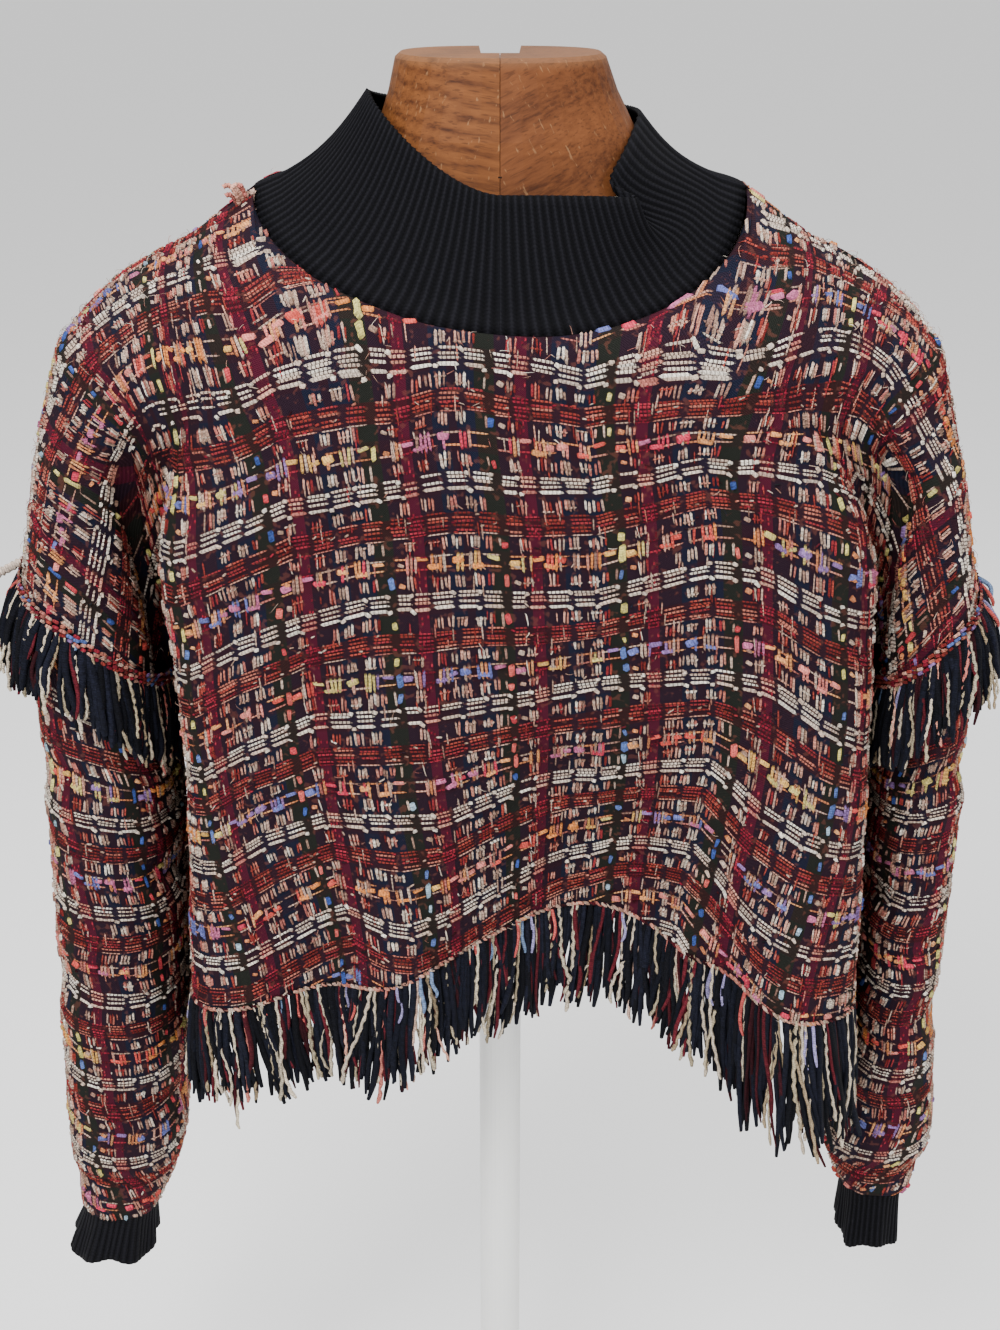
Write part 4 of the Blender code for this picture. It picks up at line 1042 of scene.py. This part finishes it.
def oak_material(name, tilt, bands, dark, light, seed):
    """Stained oak: long grain at a tilt, broad bands, pores, pale ray flecks and a worn top."""
    n = Nodes(name, 0.60, 0.12)
    turned = n.mapped(n.place(), Location=(seed, seed * 0.7, seed * 1.3),
                      Rotation=(math.radians(4), math.radians(tilt), math.radians(8)))
    stretched = n.mapped(turned, Scale=(1.0, 1.0, 0.10))
    grain = n.noise(420.0, 5.0, stretched, 0.62)
    wave = (("Vector", turned), ("Scale", bands), ("Distortion", 2.6), ("Detail", 2.0), ("Detail Scale", 1.2))
    rings = n.add("TexWave", wave, wave_type="BANDS", bands_direction="X").outputs["Fac"]
    tone = n.plus(n.times(rings, 0.20), n.times(grain, 0.90))
    colour = n.ramp(tone, ((0.30, dark), (0.52, mix3(dark, light, 0.6)), (0.78, light)))
    colour = n.overlay(colour, n.noise(900.0, 1.0, stretched), 0.60, 0.68, 0.45, (0.028, 0.009, 0.003))
    flecks = n.noise(420.0, 2.0, n.mapped(turned, Scale=(0.30, 1.0, 1.3)))
    colour = n.overlay(colour, flecks, 0.66, 0.74, 0.40, mix3(light, (0.45, 0.28, 0.14), 0.5))
    worn = n.math("DIVIDE", n.math("SUBTRACT", n.split(n.place())[2], TOP - 0.009), 0.009)
    colour = n.overlay(colour, worn, 0.35, 0.95, 0.20, (0.30, 0.17, 0.09))
    return n.finish(colour, n.bump(grain, 0.15, 0.0004))


def linen_material():
    n = Nodes("form_linen", 0.9, 0.2, 0.2)
    x, y, z = n.split(n.place())
    weave = n.times(n.sine(n.math("ARCTAN2", y, x), 700.0), n.sine(z, TURN / 0.0011))
    tone = n.plus(n.times(weave, 0.12), n.noise(55.0, 4.0, n.place(), 0.6))
    colour = n.ramp(tone, ((0.25, (0.36, 0.31, 0.24)), (0.75, (0.52, 0.46, 0.37))))
    return n.finish(colour, n.bump(weave, 0.4, 0.0003))


def paint_material(name, colour, roughness):
    n = Nodes(name, roughness, 0.5)
    tone = n.ramp(n.noise(14.0, 4.0, n.place()), ((0.3, mix3(colour, (0.0, 0.0, 0.0), 0.05)), (0.7, colour)))
    return n.finish(tone, n.bump(n.noise(900.0, 2.0, n.place()), 0.08, 0.0002))


YARN = yarn_material()
GROUND = ground_material()
RIB = rib_material()


# ---------------------------------------------------------------- tweed pieces

SLEEVE_COLUMNS, SLEEVE_ROWS = 48, 56
SLEEVE_BAND_DROP = 0.382                   # a cream band's middle on the sleeve
SLEEVE_SAG = 0.010                         # how much lower the bands run at the front
WELD_REACH = 0.00002


def add_tweed(shell_name, yarns_name, node, cloths, seed, fill=False):
    """One shell of ground cloth whose grids are welded along their edges, and its yarns."""
    starts = np.cumsum([0] + [len(cloth.points) for cloth in cloths])
    faces = np.concatenate([cloth.faces + start for cloth, start in zip(cloths, starts)])
    shell = mesh_object(shell_name, np.concatenate([cloth.points for cloth in cloths]), faces, GROUND)
    u, v = np.concatenate([cloth.flat for cloth in cloths]).T
    set_uv(shell, "flat", (u - STRIPE_U) / REPEAT_U, (v - CREAM_V) / REPEAT_V + CREAM_SHARE)
    shell.modifiers.new("weld", "WELD").merge_threshold = WELD_REACH
    add_wall(shell, WALL)
    ride_as(shell, "tweed", node)
    return shell, lay_yarns(yarns_name, cloths, seed, fill)


def sleeve_offset(side, drops, turns):
    out = 0.0005 * np.sin(70 * drops + 3 * turns) * np.sin(45 * drops + 5 * turns)
    for crease in SLEEVE_CREASES:
        if crease.side == side:
            away = np.degrees(np.angle(np.exp(1j * (turns - math.radians(crease.turn)))))
            share = np.clip(np.abs(away) / crease.half_turn, 0.0, 1.0)
            line = crease.drop + crease.tilt * away / crease.half_turn
            reach = crease.depth * np.cos(share * math.pi / 2) ** 2
            out += reach * np.exp(-((drops - line) / crease.half_width) ** 2)
            below = drops - line - 1.7 * crease.half_width
            out -= 0.4 * reach * np.exp(-(below / crease.half_width) ** 2)
    return out


def sleeve_cloth(side):
    """The lower sleeve as one grid, split along its inner seam."""
    drops = np.linspace(ARMHOLE_DROP + 0.001, SLEEVE_END[side], SLEEVE_ROWS + 1)
    turns = math.pi * np.linspace(1.0, -1.0, SLEEVE_COLUMNS + 1)
    fine = math.pi * np.linspace(1.0, -1.0, 4 * SLEEVE_COLUMNS + 1)
    rings = [along(arm_points(side, drop, fine, SLEEVE_INSET), np.linspace(0.0, 1.0, SLEEVE_COLUMNS + 1))
             for drop in drops]
    points = tilt_armhole(side, np.array(rings))
    drops, turns = np.meshgrid(drops, turns, indexing="ij")
    points = points + grid_normals(points, -side) * sleeve_offset(side, drops, turns)[..., None]
    around = lengths_along(points, 1)
    around = around - around[:, -1:] / 2
    sag = SLEEVE_SAG * np.sin(-turns) * (np.sin(-turns) > 0)
    v = drops - SLEEVE_BAND_DROP + CREAM_V + REPEAT_V - sag * smooth((drops - 0.29) / 0.1)
    return Cloth(points, np.stack([around, v], axis=-1), -side)


# ---------------------------------------------------------------- rib

RIB_STEPS = 6                              # points across one rib
COLLAR_RIBS, COLLAR_ROWS, COLLAR_RIB_DEPTH = 132, 13, 0.0010
CUFF_RIBS, CUFF_ROWS, CUFF_RIB_DEPTH = 46, 9, 0.0007
STITCH = 0.0021
COLLAR_TOP_HALF_WIDTH = {RIGHT: 0.0670, LEFT: 0.0715}
COLLAR_TOP_FRONT, COLLAR_TOP_BACK = 0.0650, 0.0620
COLLAR_TOP_FRONT_DROP, COLLAR_TOP_BACK_DROP = 0.0605, 0.0300
COLLAR_TOP_SIDE_DROP = {RIGHT: 0.0175, LEFT: 0.0290}
COLLAR_TOP_SQUARENESS = {RIGHT: 2.0, LEFT: 2.8}
COLLAR_RISE = {RIGHT: 1.6, LEFT: 3.0}
COLLAR_HOLLOW = 0.004
COLLAR_BASE_FLARE, COLLAR_BASE_SHARE = 0.0030, 0.16    # at the seam; gone this far up
CUFF_WAVE, CUFF_FLUTE, CUFF_WAVES = 0.0025, 0.0016, 4

# The collar's slack folds over itself beside the block. Its top edge from the front (turn 0)
# to the wearer's left (turn 90 degrees): aside, ahead and drop in metres
FOLDED_EDGE = table(
    "turn aside ahead drop",
    (0, 0.0000, 0.0650, 0.0605),
    (20, 0.0265, 0.0650, 0.0606),
    (36, 0.0475, 0.0630, 0.0612),
    (46, 0.0610, 0.0600, 0.0622),
    (52, 0.0680, 0.0550, 0.0635),
    (56, 0.0640, 0.0510, 0.0620),
    (60, 0.0570, 0.0505, 0.0590),
    (64, 0.0540, 0.0505, 0.0555),
    (69, 0.0565, 0.0475, 0.0500),
    (75, 0.0610, 0.0410, 0.0440),
    (82, 0.0665, 0.0250, 0.0360),
    (90, 0.0715, 0.0000, 0.0290))
FOLD_FROM, EDGE_ROUNDINGS = 0.25, 8        # share up the collar; times its corners are rounded


def collar_point(angle, share):
    """A point on the collar: share 0 at the seam, 1 at the top."""
    low = neck_point(angle, COLLAR_BASE_FLARE * float(1.0 - smooth(share / COLLAR_BASE_SHARE)))
    facing, sideways = math.cos(angle), math.sin(angle)
    side = LEFT if sideways > 0 else RIGHT
    cosine, sine = rounded(angle, COLLAR_TOP_SQUARENESS[side])
    depth, side_drop = COLLAR_TOP_BACK, COLLAR_TOP_SIDE_DROP[side]
    drop = mix(side_drop, COLLAR_TOP_BACK_DROP, -facing)
    if facing > 0:
        depth = COLLAR_TOP_FRONT
        drop = mix(COLLAR_TOP_FRONT_DROP, side_drop, abs(sideways) ** COLLAR_RISE[side])
    high = np.array([COLLAR_TOP_HALF_WIDTH[side] * sine, -depth * cosine, TOP - drop])
    hollow = COLLAR_HOLLOW * abs(sideways) * math.sin(math.pi * share)
    return mix(low, high, share) - np.array([math.copysign(hollow, sideways), 0.0, hollow])


def add_rib(name, node, points, depth, shift=0.0):
    """A closed tube of rib from a grid (rows from bottom to top, columns round it)."""
    rows, columns = points.shape[:2]
    wrapped = np.concatenate((points[:, -1:], points, points[:, :1]), axis=1)
    normals = grid_normals(wrapped, 1.0)[:, 1:-1]
    outward = (normals * (points - points.mean(axis=1, keepdims=True))).sum(axis=2)
    normals *= np.sign(np.median(outward))
    phase = np.arange(columns) / RIB_STEPS
    relief = depth * (np.abs(np.cos(math.pi * phase)) ** 0.7 - 1.0)
    at = np.arange(rows * columns).reshape(rows, columns)
    ahead = np.roll(at, -1, axis=1)
    faces = np.stack([at[:-1], ahead[:-1], ahead[1:], at[1:]], axis=-1)
    item = mesh_object(name, points + normals * relief[:, None] + shift, faces, RIB)
    set_uv(item, "rib", phase + 0.5, lengths_along(points, 0) / STITCH)
    add_wall(item, RIB_WALL)
    ride_as(item, "rib", node)
    return item


def collar_fold(angles, shares, edge):
    """How far the folded edge and the cloth below it lie from the plain collar."""
    turns = np.degrees(angles)
    at, aside, ahead, drop = (np.array(values) for values in zip(*FOLDED_EDGE))
    folded = np.stack([np.interp(turns, at, aside), -np.interp(turns, at, ahead),
                       TOP - np.interp(turns, at, drop)], axis=1)
    away = np.where((turns <= 90.0)[:, None], folded - edge, 0.0)
    for _ in range(EDGE_ROUNDINGS):
        away = (np.roll(away, 1, axis=0) + away + np.roll(away, -1, axis=0)) / 3.0
    return smooth((shares - FOLD_FROM) / (1.0 - FOLD_FROM))[:, None, None] * away[None]


def add_collar():
    columns = COLLAR_RIBS * RIB_STEPS
    shares = np.linspace(0.0, 1.0, COLLAR_ROWS + 1)
    angles = TURN * np.arange(columns) / columns
    points = np.array([[collar_point(angle, share) for angle in angles] for share in shares])
    return add_rib("collar_rib", "collar", points, COLLAR_RIB_DEPTH, collar_fold(angles, shares, points[-1]))


def level(spokes):
    """The level direction of each spoke."""
    return unit(spokes * np.array([1.0, 1.0, 0.0]))


def add_cuff(side):
    columns = CUFF_RIBS * RIB_STEPS
    turns = TURN * np.arange(columns) / columns
    fine = TURN * np.arange(4 * columns + 1) / (4 * columns)
    rings = []
    for share in np.arange(CUFF_ROWS + 1) / CUFF_ROWS:
        drop = mix(CUFF_END[side], SLEEVE_END[side] - CUFF_LAP, share)
        ring = along(arm_points(side, drop, fine, CUFF_INSET), np.arange(columns) / columns)
        ring[:, 2] += CUFF_WAVE * (1 - share) ** 2 * np.cos(CUFF_WAVES * turns)
        flute = CUFF_FLUTE * (1 - share) ** 1.5 * np.sin(2 * CUFF_WAVES * turns + side)
        rings.append(ring + level(ring - ring.mean(axis=0)) * flute[:, None])
    word = SIDE_WORD[side]
    return add_rib("cuff_rib_" + word, "cuff_" + word, np.array(rings), CUFF_RIB_DEPTH)


# ---------------------------------------------------------------- fringe and loose ends

# What hangs in a clump: odds, radius in mm, reach as a share of the fringe, and how wavy it is
FRINGE_YARNS = table(
    "colours odds radius reach knobbly wave",
    (NAVY, 0.60, 1.95, 0.95, False, 1.0),
    (BURGUNDY, 0.16, 1.30, 0.95, False, 1.3),
    (SAND, 0.15, 0.95, 1.02, True, 1.7),
    (PEACH, 0.04, 0.90, 0.98, True, 1.7),
    (FADED, 0.05, 1.20, 0.35, False, 1.0))
CLUMP_SIZES = (4, 5, 5, 6)
SOFT_TAPER = (0.0, 0.12, 0.85, 1.0), (0.7, 1.0, 0.9, 0.5)         # share of the length, of the radius
KNOT_SWELL = (1.25, 0.7)                   # the knot at a knobbly yarn's end
LIFT_PACE = 2.2                            # how soon a yarn has swung out from its edge
SOFT_STEPS, KNOBBLY_STEPS = 9, 23
SOFT_SIDES, KNOBBLY_SIDES, HAIR_SIDES = 5, 4, 3
FRINGE_STEP, ARM_FRINGE_STEP, STITCH_STEP = 0.0041, 0.0042, 0.0034
HEM_REACH, HEM_FLARE = {FRONT: 0.066, BACK: 0.064}, 0.004
HEM_EXTRA, HEM_EXTRA_X = 0.26, 0.09        # longer at the wearer's left front
ARM_FRINGE_REACH = 0.04784
BAND_ROWS = (0.0012, 0.0036, 0.0060)       # the woven edge band, up from the armhole seam
STRAY_REACH, STRAY_FALL, STRAY_RADIUS = 0.027, 0.013, 0.0025
NECK_TUFT_OUT, NECK_TUFT_SINK, NECK_TUFT_REACH = 0.0050, 0.0135, 0.0135
NECK_TUFT_ENDS, NECK_TUFT_RADIUS = 16, 0.0013
HAIRS_A_CLOTH = 220


def pick_yarn(rng):
    spot = rng.random()
    for yarn in FRINGE_YARNS:
        spot -= yarn.odds
        if spot <= 0:
            return yarn
    return FRINGE_YARNS[0]


def phase(rng):
    return rng.uniform(0, 6.28)


def strand_path(rng, root, ways, reach, lean, flare, wave, steps):
    """A hanging yarn: leaves the edge along the cloth, then falls in slow waves."""
    down, out, side = ways
    shares = np.linspace(0.0, 1.0, steps)
    lift = flare * (1.0 - np.exp(-LIFT_PACE * shares)) / (1.0 - math.exp(-LIFT_PACE))
    path = root + np.outer(shares * reach * math.cos(lean * 0.6), down)
    path += np.outer(reach * math.tan(lean) * shares ** 1.3, side) + np.outer(lift, out)
    first, second = phase(rng), phase(rng)
    swing = wave * rng.uniform(0.4, 1.5) * MM * 1.7
    path += np.outer(swing * shares ** 0.8 * (np.sin(5.5 * shares + first) - math.sin(first)), side)
    path += np.outer(0.5 * swing * shares * np.sin(8.0 * shares + second), out)
    return path


def fringe_yarn(rng, yarn, base, ways, reach, lean, flare):
    """The path, radii and colour of one yarn that hangs from near a place on the edge."""
    down, out, side = ways
    deep = rng.uniform(-0.4, 1.4) if yarn.knobbly else rng.uniform(-1.8, 0.6)
    root = base + side * rng.uniform(-2.8, 2.8) * MM + out * deep * MM
    root = root - down * rng.uniform(0.5, 2.0) * MM
    length = reach * yarn.reach * rng.uniform(0.84, 1.05)
    lean = lean + rng.gauss(0.0, 0.05)
    steps = KNOBBLY_STEPS if yarn.knobbly else SOFT_STEPS
    path = strand_path(rng, root, ways, length, lean, flare * rng.uniform(0.5, 1.3), yarn.wave, steps)
    shade = rng.uniform(0.70, 1.2)
    colour = tinted(rng.choice(yarn.colours), shade)
    radius = yarn.radius * rng.uniform(0.75, 1.2) * MM
    if not yarn.knobbly:
        return path, radius * np.interp(np.linspace(0, 1, steps), *SOFT_TAPER), colour
    turn = np.arange(steps) * 2.25 + phase(rng)
    path = path + (np.outer(np.cos(turn), side) + np.outer(np.sin(turn), out)) * radius * 0.45
    swell = 1.0 + 0.24 * np.cos(np.arange(steps) * 2.7 + phase(rng))
    swell[-2:] = KNOT_SWELL
    return path, radius * swell, colour


def add_fringe(name, frames, settings, seed):
    """Clumps of yarns from roots along an edge; settings gives reach, flare and lean."""
    rng = random.Random(seed)
    strands = {False: [], True: []}
    for at, (base, *ways) in enumerate(zip(*frames)):
        reach, flare, lean = settings(at)
        lean += rng.gauss(0.0, 0.09)
        reach *= rng.uniform(0.84, 1.08)
        for _ in range(rng.choice(CLUMP_SIZES)):
            yarn = pick_yarn(rng)
            strands[yarn.knobbly].append(fringe_yarn(rng, yarn, base, ways, reach, lean, flare))
    soft = tube_object(name + "_soft", "fringe", SOFT_SIDES, *zip(*strands[False]))
    knobbly = tube_object(name + "_knobbly", "fringe", KNOBBLY_SIDES, *zip(*strands[True]))
    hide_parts(name)
    return soft, knobbly


def edge_frames(edge, above, step):
    """Evenly spaced places on an edge, with the ways down, out and along it."""
    length = np.linalg.norm(np.diff(edge, axis=0), axis=1).sum()
    shares = np.linspace(0.01, 0.99, int(length / step))
    roots = along(edge, shares)
    downs, sides = unit(roots - along(above, shares)), unit(np.gradient(roots, axis=0))
    return roots, downs, np.cross(sides, downs), sides


def hem_frames(cloth, face, rows_up, step):
    roots, downs, outs, sides = edge_frames(cloth.grid[-1], cloth.grid[-1 - rows_up], step)
    return roots, downs, outs * np.sign((outs[:, 1] * face).sum()), sides


def hanging(downs, share):
    """Ways down that keep a share of the cloth's own and fall straight for the rest."""
    return unit(downs * share + np.array([0.0, 0.0, share - 1.0]))


def add_hem_fringe(name, face, cloth, seed):
    """Fringe along the hem; it is longest towards the wearer's left at the front."""
    roots, downs, outs, sides = hem_frames(cloth, face, 3, FRINGE_STEP)

    def settings(at):
        x = (roots[at] - outs[at] * MM)[0]
        extra = HEM_EXTRA * float(smooth((x - HEM_EXTRA_X) / 0.06)) if face == FRONT else 0.0
        return HEM_REACH[face] * (1.0 + extra), HEM_FLARE, 0.10 * math.sin(19 * x + 2 * face)

    return add_fringe(name, (roots - outs * MM, hanging(downs, 0.35), outs, sides), settings, seed)


def add_hem_stitch(name, face, cloth, seed):
    """The row of short loops that holds the last weft at the hem."""
    rng = random.Random(seed)
    loops = []
    for root, down, out, side in zip(*hem_frames(cloth, face, 1, STITCH_STEP)):
        lean = rng.uniform(0.0008, 0.0016)
        start = root - side * 0.0024 - down * lean
        end = root + side * 0.0024 + down * lean * 0.8
        shade = rng.uniform(0.6, 1.05)
        loops.append(([mix(start, end, share) for share in (0.0, 0.25, 0.5, 0.75, 1.0)], [out] * 5,
                      (0.0004, 0.0009, 0.0010, 0.0009, 0.0004), (0.0002, 0.0014, 0.0018, 0.0014, 0.0002),
                      tinted(rng.choice(PEACH + BURGUNDY + PEACH + TAN), shade, 0.1)))
    return strip_object(name, "fringe", *zip(*loops))


def add_arm_fringe(side, seed):
    """Fringe round the dropped armhole, springing away from the arm on its outer side."""
    turns = TURN * np.linspace(0.0, 1.0, 181)
    edge = tilt_armhole(side, arm_points(side, ARMHOLE_DROP, turns, -0.0012))
    above = tilt_armhole(side, arm_points(side, ARMHOLE_DROP - 0.012, turns, -0.0008))
    roots, downs, outs, sides = edge_frames(edge, above, ARM_FRINGE_STEP)
    spread = level(roots - edge.mean(axis=0))
    outs = outs * np.sign((outs * spread).sum(axis=1))[:, None]
    band = add_arm_band("armhole_band_" + SIDE_WORD[side], (roots, downs, outs, sides), seed + 3)
    free = smooth(0.25 + 0.85 * side * spread[:, 0] + 0.30 * np.abs(spread[:, 1]))

    def settings(at):
        return ARM_FRINGE_REACH, 0.002 + 0.008 * float(free[at]), 0.05 * math.sin(at * 0.7)

    pieces = [*add_fringe("armhole_fringe_" + SIDE_WORD[side], (roots, hanging(downs, 0.4), outs, sides),
                          settings, seed), band]
    if side == RIGHT:
        pieces.append(add_stray_end(roots[np.argmin(roots[:, 0])], seed))
    return pieces


def add_arm_band(name, frames, seed):
    """Rows of red and salmon floats, with the odd blue one, along the armhole's edge."""
    rng = random.Random(seed)
    floats = []
    for up in BAND_ROWS:
        for root, down, out, side in zip(*frames):
            middle = root - down * (up + rng.uniform(-0.4, 0.4) * MM) + out * 0.0016
            reach, lean = rng.uniform(1.6, 2.6) * MM, rng.uniform(0.2, 0.9) * MM
            start, end = middle - side * reach - down * lean, middle + side * reach + down * lean
            shade = rng.uniform(0.6, 1.1)
            dyes = BAND_BLUE if rng.random() < 0.12 else RUST + CRIMSON + PEACH
            floats.append(([mix(start, end, share) for share in YARN_SHARES], [out] * 4,
                           (0.0005, 0.0009, 0.0009, 0.0005), (-0.0003, 0.0012, 0.0012, -0.0003),
                           tinted(rng.choice(dyes), shade, 0.4)))
    return strip_object(name, "fringe", *zip(*floats))


def add_stray_end(root, seed):
    """One thick cream end that springs straight out from the armhole."""
    shares = np.linspace(0.0, 1.0, KNOBBLY_STEPS)
    path = root + np.outer(shares * STRAY_REACH, (-1.0, -0.15, 0.0))
    path[:, 2] -= STRAY_FALL * shares
    swell = 1.0 + 0.22 * np.cos(np.arange(KNOBBLY_STEPS) * 2.7)
    swell[-1] = 0.6
    colour = tinted(random.Random(seed).choice(CREAM))
    return tube_object("armhole_stray_end", "fringe", SOFT_SIDES, [path], [STRAY_RADIUS * swell], [colour])


def add_neck_tuft(seed):
    """Frayed salmon ends that stand up at the neck point on the wearer's right."""
    rng = random.Random(seed)
    root = neck_point(-math.pi / 2, NECK_TUFT_OUT) - np.array([0.0, 0.0, NECK_TUFT_SINK])
    shares = np.linspace(0.0, 1.0, KNOBBLY_STEPS)
    ends = []
    for _ in range(NECK_TUFT_ENDS):
        reach = rng.uniform(0.7, 1.15) * NECK_TUFT_REACH
        ahead = rng.uniform(-0.7, -0.1)
        foot = root + np.array([rng.uniform(-5.0, 3.0) * MM, rng.uniform(-9.0, 0.0) * MM, 0.0])
        curl = reach * rng.uniform(-0.45, 0.25) * shares ** 2
        path = foot + np.outer(reach * np.sin(1.9 * shares), (-0.15, ahead, 1.0))
        swell = 1.0 + 0.25 * np.cos(np.arange(KNOBBLY_STEPS) * 2.3 + reach)
        ends.append((path + np.outer(curl, (1.0, 0.4, 0.0)), NECK_TUFT_RADIUS * swell,
                     tinted(rng.choice(PEACH), bead=0.3)))
    return tube_object("neck_tuft", "fringe", SOFT_SIDES, *zip(*ends))


def add_hairs(name, cloths, seed):
    """Fine loose fibres that stand off the tweed."""
    rng = random.Random(seed)
    shares = np.linspace(0.0, 1.0, 4)
    hairs = []
    for cloth in cloths:
        for at in [rng.randrange(len(cloth.points)) for _ in range(HAIRS_A_CLOTH)]:
            normal = cloth.normals[at]
            drift = np.array([rng.gauss(0, 1), rng.gauss(0, 1), rng.gauss(0, 1)])
            drift = unit(drift - normal * drift.dot(normal))
            reach = rng.uniform(2.0, 6.0) * MM
            path = (cloth.points[at] + np.outer(np.sin(shares * 2.2) * reach * 0.45 + 0.0004, normal)
                    + np.outer(shares * reach, drift))
            colour = tinted(rng.choice(CREAM + TAN + DARK + PEACH))
            hairs.append((path, (0.00016, 0.00014, 0.00011, 0.00005), colour))
    return tube_object(name, "tweed", HAIR_SIDES, *zip(*hairs))


# ---------------------------------------------------------------- form, stand and stage

OAK_RIGHT = ((0.044, 0.0120, 0.0030), (0.155, 0.053, 0.0142))      # dark, light
OAK_LEFT = ((0.045, 0.0125, 0.0034), (0.132, 0.0440, 0.0135))
STAND_PAINT = (0.80, 0.80, 0.78)
# Where the sheet of painted shadow stands in the gap between the block's halves: drop and how far ahead
JOINT_SHADOW_PATH = table("drop ahead", (0.0053, -0.0300), (0.0052, 0.0365), (0.0180, 0.0410),
                    (0.0380, 0.0485), (0.0540, 0.0555))
JOINT_SHADOW_HALF_WIDTH = 0.0009
# Soft lamps: place, what they face, size and power
LAMPS = table(
    "name place target size power",
    ("key", (-0.7, -1.5, 2.3), (0.0, 0.0, 0.68), 1.0, 70.0),
    ("fill", (1.5, -1.2, 1.5), (0.0, 0.0, 0.60), 1.4, 16.0),
    ("top", (0.1, 0.3, 2.6), (0.0, 0.0, 0.60), 1.2, 32.0))
FLOOR_SIZE, FLOOR_BACK = 90.0, 35.0
CAMERA_AHEAD, CAMERA_ABOVE, CAMERA_DOWN = 1.04, 0.09, 22
SENSOR, FOCAL_SHARE = 36.0, 2000.0 / 1330.0           # focal length and frame height in pixels


def add_form():
    """Better finishes on the CAD's own block, torso and stand."""
    finishes = {
        "neck_block_right": oak_material("oak_right", 80.0, 44.0, *OAK_RIGHT, 0.31),
        "neck_block_left": oak_material("oak_left", -62.0, 9.0, *OAK_LEFT, 1.7),
        "form_torso": linen_material(),
        "neck_fitting": paint_material("fitting", (0.03, 0.03, 0.032), 0.45),
        "form_plate": paint_material("plate", (0.05, 0.05, 0.055), 0.5),
        "stand_pole": paint_material("pole_paint", STAND_PAINT, 0.35),
        "stand_socket": paint_material("socket_paint", STAND_PAINT, 0.35),
        "stand_base": paint_material("base_paint", STAND_PAINT, 0.38),
    }
    for name, material in finishes.items():
        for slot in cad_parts[name].material_slots:
            slot.link = "OBJECT"
            slot.material = material


def add_block_joint_shadow():
    """A thin near-black sheet in the gap between the block's halves: painted shadow in the joint."""
    n = Nodes("joint_shadow_paint", 0.8, 0.1)
    # near-black tones of the painted shadow in the joint
    shadow_tones = ((0.3, (0.004, 0.002, 0.001)), (0.7, (0.010, 0.005, 0.003)))
    tone = n.ramp(n.noise(300.0, 2.0, n.place()), shadow_tones)
    points = np.array([[(x, -place.ahead, TOP - place.drop) for x in (-JOINT_SHADOW_HALF_WIDTH, JOINT_SHADOW_HALF_WIDTH)]
                       for place in JOINT_SHADOW_PATH])
    at = np.arange(2 * len(JOINT_SHADOW_PATH)).reshape(-1, 2)
    item = mesh_object("block_joint_shadow_sheet", points, quads(at, False), n.finish(tone))
    ride_as(item, "oak")


def place_data(data, place, turn):
    item = bpy.data.objects.new(data.name, data)
    item.location = place
    item.rotation_euler = turn
    bpy.context.scene.collection.objects.link(item)
    return item


def add_stage():
    """A plain pale floor, soft lights and the camera at the photograph's angle."""
    bpy.ops.mesh.primitive_plane_add(size=FLOOR_SIZE, location=(0.0, FLOOR_BACK, 0.0))
    floor = bpy.context.object
    floor.name = "floor"
    floor.data.materials.append(Nodes("floor", 0.9, 0.1).finish((0.96, 0.96, 0.96)))
    world = bpy.data.worlds.new("studio")
    bpy.context.scene.world = world
    world.use_nodes = True
    world.node_tree.nodes["Background"].inputs[0].default_value = (1.0, 1.0, 1.0, 1.0)
    world.node_tree.nodes["Background"].inputs[1].default_value = 1.0
    for lamp in LAMPS:
        data = bpy.data.lights.new(lamp.name, "AREA")
        data.energy, data.size = lamp.power, lamp.size
        facing = Vector(lamp.target) - Vector(lamp.place)
        place_data(data, lamp.place, facing.to_track_quat("-Z", "Y").to_euler())
    data = bpy.data.cameras.new("camera")
    data.sensor_fit, data.sensor_height = "VERTICAL", SENSOR
    data.lens, data.clip_end = SENSOR * FOCAL_SHARE, 30.0
    bpy.context.scene.camera = place_data(data, (0.0, -CAMERA_AHEAD, TOP + CAMERA_ABOVE),
                                          (math.radians(90 - CAMERA_DOWN), 0.0, 0.0))


def build():
    add_stage()
    add_form()
    add_block_joint_shadow()
    collar = add_collar()
    panels = {}
    for name, face, seed in (("front", FRONT, 11), ("back", BACK, 23)):
        cloths = build_panel(face)
        shell, yarns = add_tweed(name + "_cloth", name + "_yarns", name, cloths, seed, face == FRONT)
        fringe = add_hem_fringe("hem_fringe_" + name, face, cloths[0], seed + 5)
        stitch = add_hem_stitch("hem_stitch_" + name, face, cloths[0], seed + 6)
        hairs = add_hairs(name + "_hairs", cloths, seed + 7)
        panels[name] = (shell, yarns, hairs, stitch, *fringe)
    panels["front"] += (add_neck_tuft(71),)
    for side, word in SIDE_WORD.items():
        shell, yarns = add_tweed("sleeve_cloth_" + word, "sleeve_yarns_" + word, "sleeve_" + word,
                                 [sleeve_cloth(side)], 40 + side)
        add_cuff(side)
        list(add_arm_fringe(side, 60 + side))


build()
